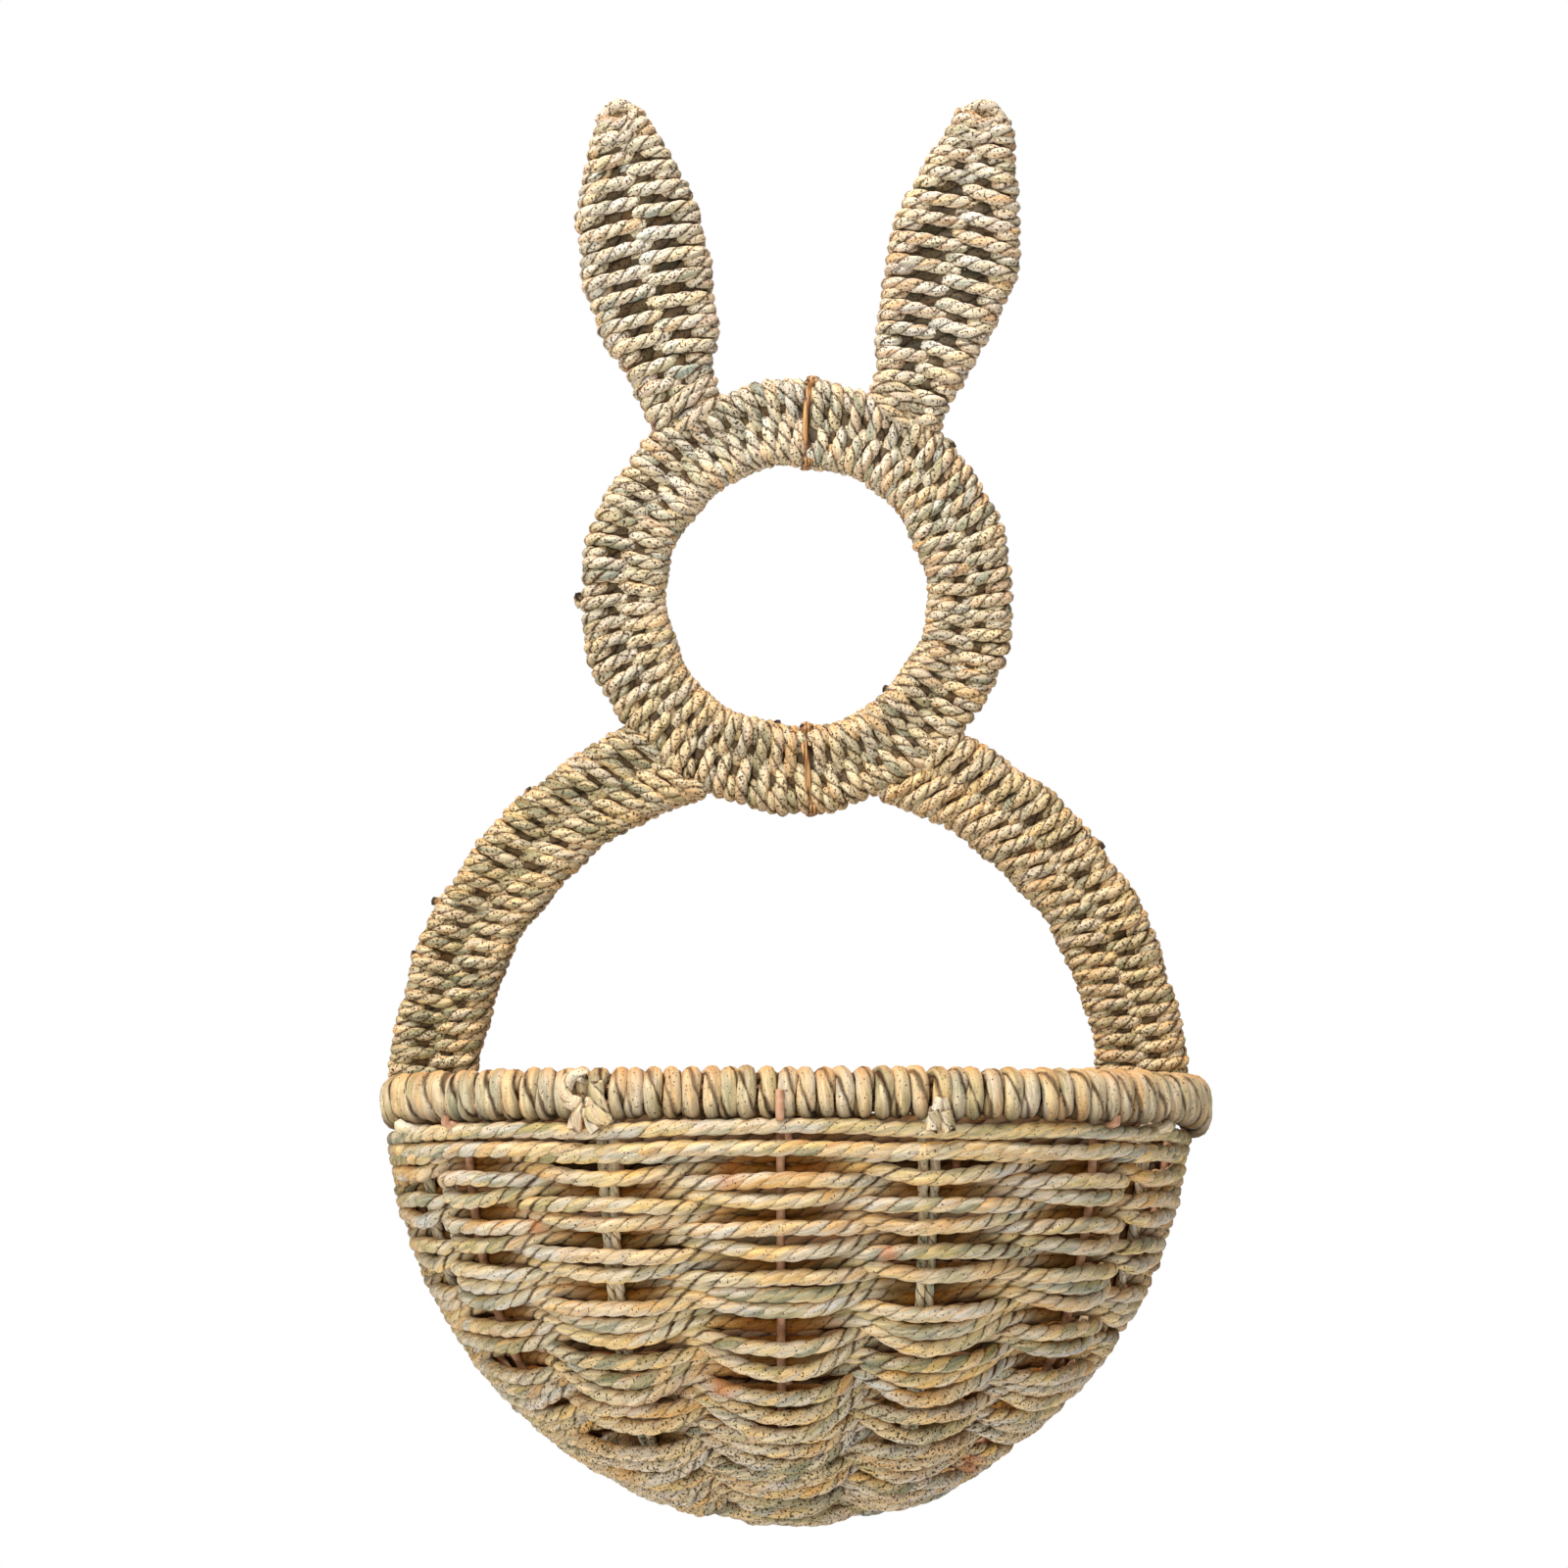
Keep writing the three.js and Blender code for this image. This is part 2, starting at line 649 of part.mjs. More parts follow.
const tightHeights = ropesInRow.map((ropes) => (ropes === 2 ? tightPairHeight : tightTripleHeight));
const tightTotal = tightHeights.reduce((sum, height) => sum + height, 0);
let rowTop = 0;
tightHeights.forEach((height, row) => {
  const stepV = height / tightTotal;
  const stations = rowStations(row, rowTop + stepV / 2, stepV, ropesInRow[row]);
  addPiece(`front_row_${twoDigits(row + 1)}`, extrudeAlong(rowSection(), stations), 'weave');
  rowTop += stepV;
});

// Rim: two wires with rope wound round both, out from behind the hoop and across the front

function rimStations(shiftUp) {
  const places = [];
  for (let i = 0; i <= rimSteps; i += 1) {
    const plan = planShares(i / rimSteps);
    const level = rimEndLevel + rimRise * plan.front + shiftUp;
    const place = new THREE.Vector3(rimHalfWidth * plan.across, -rimDepth * plan.front, level);
    places.push(place.add(bodyCentre));
  }
  const behind = new THREE.Vector3(0, lobe - rimEndSetback, 0);
  places.unshift(places[0].clone().add(behind));
  places.push(places[places.length - 1].clone().add(behind));
  return places.map((point, i) => {
    const before = places[Math.max(0, i - 1)];
    const after = places[Math.min(places.length - 1, i + 1)];
    const along = after.clone().sub(before).setZ(0).normalize();
    return { point, across: along.cross(toTop).normalize(), up: toTop };
  });
}

const rimHalfSpacing = rimHalfHeight - lobe;
const rimBand = extrudeAlong(pairSection(rimHalfSpacing, false), rimStations(0));
addPiece('rim_wrap', cut(rimBand, [hoopChannel]), 'wrap');
addPiece('rim_upper_wire', extrudeAlong(wireSection(wireRadius), rimStations(rimHalfSpacing)), 'wire');
addPiece('rim_lower_wire', extrudeAlong(wireSection(wireRadius), rimStations(-rimHalfSpacing)), 'wire');

// Back rail: a wrapped wire across the wall side, behind the rim

function railStations(halfLength) {
  return [-1, 1].map((side) => {
    const place = new THREE.Vector3(side * halfLength, 0, railLevel);
    return { point: place.add(bodyCentre), across: toFront, up: toTop };
  });
}

const railHalfLength = Math.min(hoopRadius - wireRadius, rimHalfWidth - lobe) - 2 * wireFit;
addPiece('back_rail_wire', extrudeAlong(wireSection(wireRadius), railStations(railHalfLength)), 'wire');
addPiece('back_rail_wrap', extrudeAlong(railSection(), railStations(railHalfLength)), 'wrap');

// Back: upright stakes between the rail and the hoop, and rows woven flat between the hoop's sides

const backTop = railLevel - lobe - wireFit;
const backBottom = -hoopDrop + wireRadius + lobe + rowGap;

backStakeShares.forEach((share, i) => {
  const x = share * hoopRadius;
  const bottom = -hoopDrop * Math.sqrt(1 - share ** 2) + wireDiameter + weaveFit;
  const stations = [backTop, bottom].map((level) => {
    const point = new THREE.Vector3(x, 0, level).add(bodyCentre);
    return { point, across: toFront, up: new THREE.Vector3(1, 0, 0) };
  });
  addPiece(`back_stake_${i + 1}`, extrudeAlong(wireSection(wireRadius), stations), 'wire');
});

const backPitch = (backTop - rowGap - backBottom) / backRowCount;

function backRowStations(row) {
  const level = backTop - rowGap - backPitch * (row + 1 / 2);
  const lowEdge = level - backPitch / 2;
  const setback = wireRadius + weaveFit + rowGap;
  const endX = (hoopRadius - setback) * Math.sqrt(1 - (lowEdge / (hoopDrop - setback)) ** 2);
  const knots = [{ x: -endX, out: 0 }];
  backStakeShares.forEach((share, i) => {
    const x = share * hoopRadius;
    if (Math.abs(x) < endX) knots.push({ x, out: (row + i) % 2 === 0 ? 1 : -1 });
  });
  knots.push({ x: endX, out: 0 });
  const places = [];
  for (let i = 0; i < knots.length - 1; i += 1) {
    const [a, b] = [knots[i], knots[i + 1]];
    places.push(a);
    if (a.out !== 0) places.push({ x: THREE.MathUtils.lerp(a.x, b.x, holdShare), out: a.out });
    if (b.out !== 0) places.push({ x: THREE.MathUtils.lerp(a.x, b.x, 1 - holdShare), out: b.out });
  }
  places.push(knots[knots.length - 1]);
  const up = toTop.clone().multiplyScalar(backPitch - rowGap);
  return places.map(({ x, out }) => {
    const point = new THREE.Vector3(x, -out * weaveOffset, level).add(bodyCentre);
    return { point, across: toFront, up };
  });
}

for (let row = 0; row < backRowCount; row += 1) {
  addPiece(`back_row_${row + 1}`, extrudeAlong(rowSection(), backRowStations(row)), 'weave');
}

export default basket;
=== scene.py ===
import functools
import json
import math

import bmesh
import bpy
import numpy as np
from bpy.props import FloatProperty, FloatVectorProperty, IntProperty, PointerProperty
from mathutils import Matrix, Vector


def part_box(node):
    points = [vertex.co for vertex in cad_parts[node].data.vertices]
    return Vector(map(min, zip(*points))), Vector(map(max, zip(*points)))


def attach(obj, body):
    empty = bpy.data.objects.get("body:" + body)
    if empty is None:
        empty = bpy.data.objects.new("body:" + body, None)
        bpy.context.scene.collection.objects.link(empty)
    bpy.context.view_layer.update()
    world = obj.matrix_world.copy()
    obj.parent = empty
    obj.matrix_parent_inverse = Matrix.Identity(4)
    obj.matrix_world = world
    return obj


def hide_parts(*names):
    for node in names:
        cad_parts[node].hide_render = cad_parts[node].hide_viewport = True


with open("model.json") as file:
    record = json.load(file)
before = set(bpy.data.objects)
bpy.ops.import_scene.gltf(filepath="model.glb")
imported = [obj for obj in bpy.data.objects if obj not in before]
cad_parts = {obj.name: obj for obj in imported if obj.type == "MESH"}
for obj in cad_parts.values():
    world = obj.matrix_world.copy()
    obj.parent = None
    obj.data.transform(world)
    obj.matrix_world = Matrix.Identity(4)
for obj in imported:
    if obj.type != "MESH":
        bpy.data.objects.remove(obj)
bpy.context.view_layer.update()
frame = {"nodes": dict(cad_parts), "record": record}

# A seagrass wall basket in the outline of a rabbit. The front faces -Y, the wall is the plane
# y = 0, and the origin is the hang point. All lengths are in metres, written in millimetres.

bl_info = {
    "name": "Seagrass wall basket",
    "version": (1, 0, 0),
    "blender": (4, 5, 0),
    "location": "View3D > Sidebar > Basket",
    "description": "Builds a rabbit-outline wall basket of plied seagrass rope on a wire frame",
    "category": "Add Mesh",
}

MM = 0.001
TOWARDS_FRONT = np.array([0.0, -1.0, 0.0])
UPWARDS = np.array([0.0, 0.0, 1.0])

# Places, from the CAD model


SLOTS = {entry["node"]: entry["material_slot"] for entry in frame["record"]["subparts"]}


def corners(node):
    low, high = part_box(node)
    return np.array(low), np.array(high)


def middle(node):
    low, high = corners(node)
    return (low + high) / 2


def unit(vector):
    return vector / np.linalg.norm(vector, axis=-1, keepdims=True)


WIRE_RADIUS = 1.5 * MM
HEAD_CENTRE = middle("head_outer_hoop")
HOOP_PLANE = HEAD_CENTRE[1]
LOBE = -HOOP_PLANE
RAIL_DROP = 1.5 * MM
BODY_CENTRE = np.array([middle("body_hoop")[0], HOOP_PLANE, middle("back_rail_wire")[2] + RAIL_DROP])

# Head ring and arch

HEAD_OUTER_RADIUS = 78 * MM
HEAD_INNER_RADIUS = 45.5 * MM
BODY_OUTER_RADIUS = 142.8 * MM
ARCH_INNER_RADIUS = 109 * MM
HOOP_RADIUS = BODY_OUTER_RADIUS - LOBE
HOOP_DROP = HOOP_RADIUS + 7 * MM

# Pocket: the surface through the middle of the weave

POCKET_DEPTH = 105 * MM
PLAN_POWER = 2.25
PROFILE_POWER = 2.2
SIDE_LIFT = 4 * MM
RIM_HALF_HEIGHT = 9.5 * MM
RIM_HALF_WIDTH = HOOP_RADIUS + 5.2 * MM
RIM_DEPTH = POCKET_DEPTH + 2 * MM
RIM_END_LEVEL = -4.2 * MM
RIM_RISE = 9.7 * MM
ROW_GAP = 0.5 * MM
WEAVE_FIT = 0.4 * MM

# Ears: side, seat on the ring and lean in degrees, length; and half widths along them

EARS = [("left", -33.3, -10.9, 115.7 * MM), ("right", 32.1, 13.7, 116 * MM)]
EAR_HALF_WIDTH = 24 * MM
EAR_SHARES = [(0, 0.57), (0.13, 0.69), (0.25, 0.88), (0.45, 1.03), (0.64, 0.91), (0.77, 0.72), (0.9, 0.475),
              (0.97, 0.3), (1, 0.12)]

# Stakes: places at the rim and on the hoop as shares of the hoop's half width, and how far they
# reach up the rim's face in mm

FRONT_STAKES = [("rope", -0.93, -0.76, 2), ("wire", -0.81, -0.47, 4), ("rope", -0.45, -0.24, 9),
                ("wire", -0.02, -0.01, 12), ("rope", 0.35, 0.23, 9), ("wire", 0.77, 0.46, 4),
                ("rope", 0.91, 0.74, 2)]
BACK_STAKE_SHARES = [-0.44, 0, 0.44]
ROPES_IN_ROW = [2, 2, 2, 2, 2, 2, 3, 3, 2, 3, 3, 2, 3, 3, 3, 3, 2, 3, 2, 3, 2]
PAIR_HEIGHT = 8.2
TRIPLE_HEIGHT = 9.8
STRAND_PAIR_RADIUS = 3.2 * MM
FACE_GAP = 2.2 * MM
BACK_ROW_COUNT = 9
OUTSIDE_REACH = 23 * MM
HOLD_SHARE = 0.16
SLACK_HOLD_SHARE = 0.1

# How far rows hang between stakes that they pass in front of: in mm, by their place down the pocket
ROW_HANG = ([0.2, 0.45, 0.75, 1], [1.0, 4.4, 4.4, 0.2])

# How far the ropes hang at some rows and stakes, as multiples of the usual
LOOSE_PLACES = {(6, 3): 0.7, (8, 3): 1.7, (10, 3): 1.6, (5, 4): 0.5, (7, 4): 1.6, (9, 4): 1.2}

SIDE_SEEDS = {"left": 4, "right": 5}
SEEDS = {"ear": 50, "root": 60, "tip": 64, "arch": 70, "rim": 90, "core": 94, "rail": 110, "stake": 130,
         "knot": 170, "front_row": 200, "back_row": 300, "head_stub": 400, "arch_stub": 410}


# Settings that a user would change

class BasketRopes(bpy.types.PropertyGroup):
    wrap_diameter: FloatProperty(
        name="Wrap rope", description="Diameter of the rope wound round the wires",
        default=4.9 * MM, unit="LENGTH", precision=4)
    weave_diameter: FloatProperty(
        name="Weave rope", description="Diameter of the rope in the woven rows",
        default=5.8 * MM, unit="LENGTH", precision=4)
    rim_diameter: FloatProperty(
        name="Rim rope", description="Diameter of the thick rope wound round the rim",
        default=7.0 * MM, unit="LENGTH", precision=4)
    lay_share: FloatProperty(
        name="Lay", description="Length of one turn of the twist, as a multiple of the rope's diameter",
        default=2.7, min=1.5, max=8)
    unevenness: FloatProperty(
        name="Unevenness", description="How much the grass strands vary in thickness",
        default=0.16, min=0, max=0.5, subtype="FACTOR")
    slack: FloatProperty(
        name="Slack", description="How far a hand-laid rope strays from its line",
        default=0.5 * MM, unit="LENGTH", precision=4)
    ply_sides: IntProperty(
        name="Ply sides", description="Sides of one ply of a rope", default=8, min=4, max=16)
    seed: IntProperty(name="Seed", description="Seed of every random choice", default=7)


class BasketColours(bpy.types.PropertyGroup):
    wrap_speck: FloatProperty(
        name="Wrap specks", description="How much of the wound rope dark specks cover",
        default=1.0, min=0, max=1, subtype="FACTOR")
    weave_speck: FloatProperty(
        name="Weave specks", description="How much of the woven rope dark specks cover",
        default=0.45, min=0, max=1, subtype="FACTOR")
    backdrop: FloatVectorProperty(
        name="Floor", description="Colour of the floor", default=(0.86, 0.86, 0.86),
        subtype="COLOR", size=3, min=0, max=1)


# Nodes, materials and node trees

NODE_FAMILIES = ("ShaderNode", "GeometryNode", "FunctionNode", "Node", "")


def adder(tree):
    """The function that adds a node to a tree."""
    def add(kind, *values, inputs=None, out=None, **settings):
        """Adds a node with its settings. A kind may have an operation or a data type after a dot.
        Values fill or link the sockets in use in order, None skips one, and inputs holds values
        by the sockets' names. Gives back the first output in use, or the one that out names."""
        kind, _, mode = kind.partition(".")
        family = next(each for each in NODE_FAMILIES if hasattr(bpy.types, each + kind))
        node = tree.nodes.new(family + kind)
        if mode:
            setattr(node, "operation" if hasattr(node, "operation") else "data_type", mode)
        for name, value in settings.items():
            setattr(node, name, value)
        filled = list(zip([socket for socket in node.inputs if socket.enabled], values))
        for socket, value in filled + [(node.inputs[name], value) for name, value in (inputs or {}).items()]:
            if isinstance(value, bpy.types.NodeSocket):
                tree.links.new(value, socket)
            elif value is not None:
                socket.default_value = value
        return node.outputs[out] if out else next((socket for socket in node.outputs if socket.enabled), None)
    return add


def linear(colour):
    """An sRGB hex colour such as #D9BE8C as linear red, green, blue and alpha."""
    shares = [int(colour[i:i + 2], 16) / 255 for i in (1, 3, 5)]
    return [s / 12.92 if s <= 0.04045 else ((s + 0.055) / 1.055) ** 2.4 for s in shares] + [1]


def with_stops(colour, stops):
    """The colour that comes out of a ramp, with the ramp's stops given as places and hex colours."""
    elements = colour.node.color_ramp.elements
    elements.remove(elements[-1])
    for i, (place, tone) in enumerate(stops):
        element = elements.new(place) if i else elements[0]
        element.position = place
        element.color = linear(tone)
    return colour


def new_material(name):
    material = bpy.data.materials.new(name)
    material.use_nodes = True
    material.node_tree.nodes.clear()
    return material, adder(material.node_tree)


# Dried seagrass: flat leaves twisted into plies, so fine ridges run along each ply, and each
# length of leaf keeps its own tone between straw, gold, sand and grey-green. It is matt, with
# dry specks and a thin dark line where two plies meet, which is partly a dark joint and partly
# painted shade in the crease. Painted golden light and painted shade are mixed into the colour
# too. The grass is paler towards the ears.
STRAW_TONES = [(0.27, "#93967F"), (0.36, "#B7AF8E"), (0.44, "#DCCDAC"), (0.52, "#EDDAB9"), (0.6, "#E8CDA6"),
               (0.68, "#E2BE90"), (0.76, "#D2A874")]
PALE_TONES = [(0.27, "#989F8F"), (0.36, "#BFBFAC"), (0.44, "#E2DBC8"), (0.52, "#F0E6D3"), (0.6, "#ECDAC3"),
              (0.68, "#E0C2A2"), (0.76, "#CFB090")]
STRAW_LEVEL = -130 * MM
PALE_LEVEL = 30 * MM
DIRT_LEVEL = -290 * MM
LOWEST_LEVEL = -345 * MM
LEAF_LENGTH = 26 * MM
FIBRE_LENGTH = 6 * MM
FIBRE_HEIGHT = 0.45 * MM
SPECK_SIZE = 0.85 * MM


def seagrass(name, speck_share, groove_shade_edge, drift, paleness=0.0):
    material, add = new_material(name)
    along, tint, strand, crest, warm, shade, clean, stain = [
        add("Attribute", attribute_name=mark, out="Fac")
        for mark in ("along", "tint", "strand", "crest", "warm", "shade", "clean", "stain")]
    ring = add("Attribute", attribute_name="ring", out="Vector")
    place = add("TexCoord", out="Object")
    level = add("SeparateXYZ", place, out="Z")
    normal = add("SeparateXYZ", add("NewGeometry", out="Normal")).node.outputs

    # The tone changes slowly along a rope, and a little from one side of a ply to the other
    leaf = add("Math.MULTIPLY_ADD", along, 1 / LEAF_LENGTH, add("Math.MULTIPLY", strand, 37.0))
    leaf = add("Math.MULTIPLY_ADD", tint, 0.9, leaf)
    leaf_place = add("VectorMath.MULTIPLY_ADD", ring, (0.4, 0.4, 0.4), add("CombineXYZ", 0.0, 0.0, leaf))
    tone = add("TexNoise", leaf_place, 1.0, 3.0, 0.6)
    share = add("Math.ADD", tone, add("Math.MULTIPLY_ADD", tint, 0.14, -0.07))
    straw, pale = [with_stops(add("ValToRGB", share), stops) for stops in (STRAW_TONES, PALE_TONES)]
    bleached = add("MapRange", level, STRAW_LEVEL, PALE_LEVEL, paleness)
    colour = add("Mix.RGBA", bleached, straw, pale)

    # Some lengths are golden and some have gone grey
    drift_place = add("VectorMath.MULTIPLY_ADD", leaf_place, (1.3, 1.3, 1.3), (7.0, 3.0, 11.0))
    greyness = add("TexNoise", drift_place, 1.0, 2.0)
    red, blue = [add("Math.MULTIPLY_ADD", greyness, change, 1 - change / 2)
                 for change in (-0.35 * drift, drift)]
    colour = add("VectorMath.MULTIPLY", colour, add("CombineXYZ", red, 1.0, blue))

    # Fibres run along each ply
    run = add("Math.MULTIPLY_ADD", along, 1 / FIBRE_LENGTH, add("Math.MULTIPLY", tint, 60.0))
    fibre_place = add("VectorMath.MULTIPLY_ADD", ring, (1.9, 1.9, 1.9), add("CombineXYZ", 0.0, 0.0, run))
    fibre = add("TexNoise", fibre_place, 1.0, 4.0, 0.7)
    colour = add("VectorMath.SCALE", colour, add("MapRange", fibre, 0.34, 0.6, 0.62, 1.08))

    # Where two plies press together there is a thin brown line, darker in places: a dark joint with painted
    # shade in the crease between the plies
    ragged = add("Math.MULTIPLY_ADD", fibre, 0.12, add("Math.SUBTRACT", crest, 0.06))
    ragged = add("Math.ADD", ragged, add("Math.MAXIMUM", add("Math.MULTIPLY", clean, 0.04), 0.0))
    groove_shade = add("MapRange", ragged, groove_shade_edge, groove_shade_edge - 0.11)
    groove_shade = add("Math.MULTIPLY", groove_shade, add("MapRange", tone, 0.38, 0.62, 1.0, 0.62))

    # Golden tint, mostly painted golden light: on the edges of windings, in the gaps inside the
    # basket, and on grass that faces up as if lit from above. Painted shade darkens inner layers, gaps
    # and the pocket's lower part. Both are painted weaker on surfaces that face the wall.
    painted_top_light = add("MapRange", normal["Z"], 0.3, 0.95, 0.0, 0.32)
    painted_top_light = add("Math.MULTIPLY", painted_top_light, add("Math.MULTIPLY_ADD", bleached, -0.75, 1.0))
    open_side = add("MapRange", normal["Y"], 0.0, 0.5, 1.0, 0.25)
    golden = add("Math.MULTIPLY_ADD", warm, open_side, painted_top_light)
    painted_shade = add("Math.MULTIPLY", shade, open_side)

    # Dry dark specks, fewer where a piece is marked as clean and more near the bottom
    clean = add("Math.ADD", clean, add("MapRange", level, DIRT_LEVEL, LOWEST_LEVEL, 0.0, -1.2))
    spots = add("TexNoise", place, 1 / SPECK_SIZE, 1.0)
    spots = add("Math.SUBTRACT", spots, add("Math.MULTIPLY", clean, 0.08))
    edge = 0.74 - 0.155 * speck_share
    speck = add("MapRange", spots, edge, edge + 0.03, 0.0, 0.92)

    # Layers: painted groove shade, golden tint and painted golden light, painted shade, rust stains, specks
    for cover, dye, blend in [(groove_shade, "#472B0D", "MIX"), (golden, "#E8AE4E", "MULTIPLY"),
                              (painted_shade, "#5C482C", "MULTIPLY"), (stain, "#B46A32", "MIX"),
                              (speck, "#3D2913", "MIX")]:
        colour = add("Mix.RGBA", cover, colour, linear(dye), blend_type=blend)
    bump = add("Bump", inputs={"Strength": 0.9, "Distance": FIBRE_HEIGHT, "Height": fibre})
    add("OutputMaterial", add("BsdfPrincipled", inputs={
        "Base Color": colour, "Roughness": 0.78, "Normal": bump, "Specular IOR Level": 0.25}))
    return material


STREAK_SIZES = (0.5 * MM, 2 * MM, 14 * MM)
LEAF_TONES = [(0.36, "#3C2510"), (0.5, "#94602F"), (0.62, "#D9AC74")]


def flat_leaf():
    """A single dry brown leaf laid flat: long streaks, a little more shine than rope."""
    material, add = new_material("brown_grass_leaf")
    stretched = add("Mapping", inputs={"Vector": add("TexCoord", out="Object"),
                                       "Scale": [1 / size for size in STREAK_SIZES]})
    grain = add("TexNoise", stretched, 1.0, 3.0)
    colour = with_stops(add("ValToRGB", grain), LEAF_TONES)
    bump = add("Bump", inputs={"Strength": 0.5, "Distance": 0.3 * MM, "Height": grain})
    add("OutputMaterial", add("BsdfPrincipled", inputs={
        "Base Color": colour, "Roughness": 0.6, "Normal": bump}))
    return material


CLOUD_SIZE = 4 * MM
LACQUER_TONES = [(0.35, "#8A5F45"), (0.5, "#B98A6C"), (0.65, "#CBA084")]


def lacquered_wire():
    """Iron wire under a thin brown lacquer: smooth, half shiny, a little uneven in tone."""
    material, add = new_material("lacquered_iron_wire")
    cloud = add("TexNoise", add("TexCoord", out="Object"), 1 / CLOUD_SIZE, 3.0)
    colour = with_stops(add("ValToRGB", cloud), LACQUER_TONES)
    rough = add("MapRange", cloud, 0.3, 0.7, 0.4, 0.62)
    add("OutputMaterial", add("BsdfPrincipled", inputs={"Base Color": colour, "Roughness": rough}))
    return material


@functools.cache
def finish_named(slot):
    colours = bpy.context.scene.basket_colours
    makers = {
        "wire": lacquered_wire,
        "tie_strand": flat_leaf,
        "rope_wrap": lambda: seagrass("seagrass_wound", colours.wrap_speck, 0.86, 0.9),
        "rope_weave": lambda: seagrass("seagrass_woven", colours.weave_speck, 0.83, 1.7),
        "rope_stake": lambda: seagrass("seagrass_upright", colours.weave_speck, 0.82, 1.1, 0.5),
    }
    return makers[slot]()


SOCKET_KINDS = {float: "NodeSocketFloat", int: "NodeSocketInt", type(None): "NodeSocketMaterial"}


def new_tree(name, inputs):
    """A geometry node tree, its adder and its named inputs, which are given with their defaults."""
    tree = bpy.data.node_groups.new(name, "GeometryNodeTree")
    for direction in ("INPUT", "OUTPUT"):
        tree.interface.new_socket("Geometry", in_out=direction, socket_type="NodeSocketGeometry")
    for label, default in inputs.items():
        socket = tree.interface.new_socket(label, in_out="INPUT", socket_type=SOCKET_KINDS[type(default)])
        if default is not None:
            socket.default_value = default
    add = adder(tree)
    return tree, add, add("GroupInput").node.outputs


def end_tree(add, mesh, material):
    mesh = add("RealizeInstances", add("SetShadeSmooth", mesh))
    add("GroupOutput", add("SetMaterial", mesh, None, material))


ROPE_INPUTS = {"Diameter": 5 * MM, "Lay": 15 * MM, "Step": 1.3 * MM, "Sides": 8, "Unevenness": 0.15,
               "Slack": 0.5 * MM, "Seed": 1, "Material": None}
PLY_COUNT = 2
PLY_OFFSET_SHARE = 0.3
PLY_RADIUS_SHARE = 0.72
PRESSED_SHARE = 0.93
PRESSING = 0.5
WANDER_LENGTH = 16 * MM
LUMP_LENGTH = 6 * MM
CREASE_LENGTH = 9 * MM
CREASE_DEPTH = 0.35 * MM


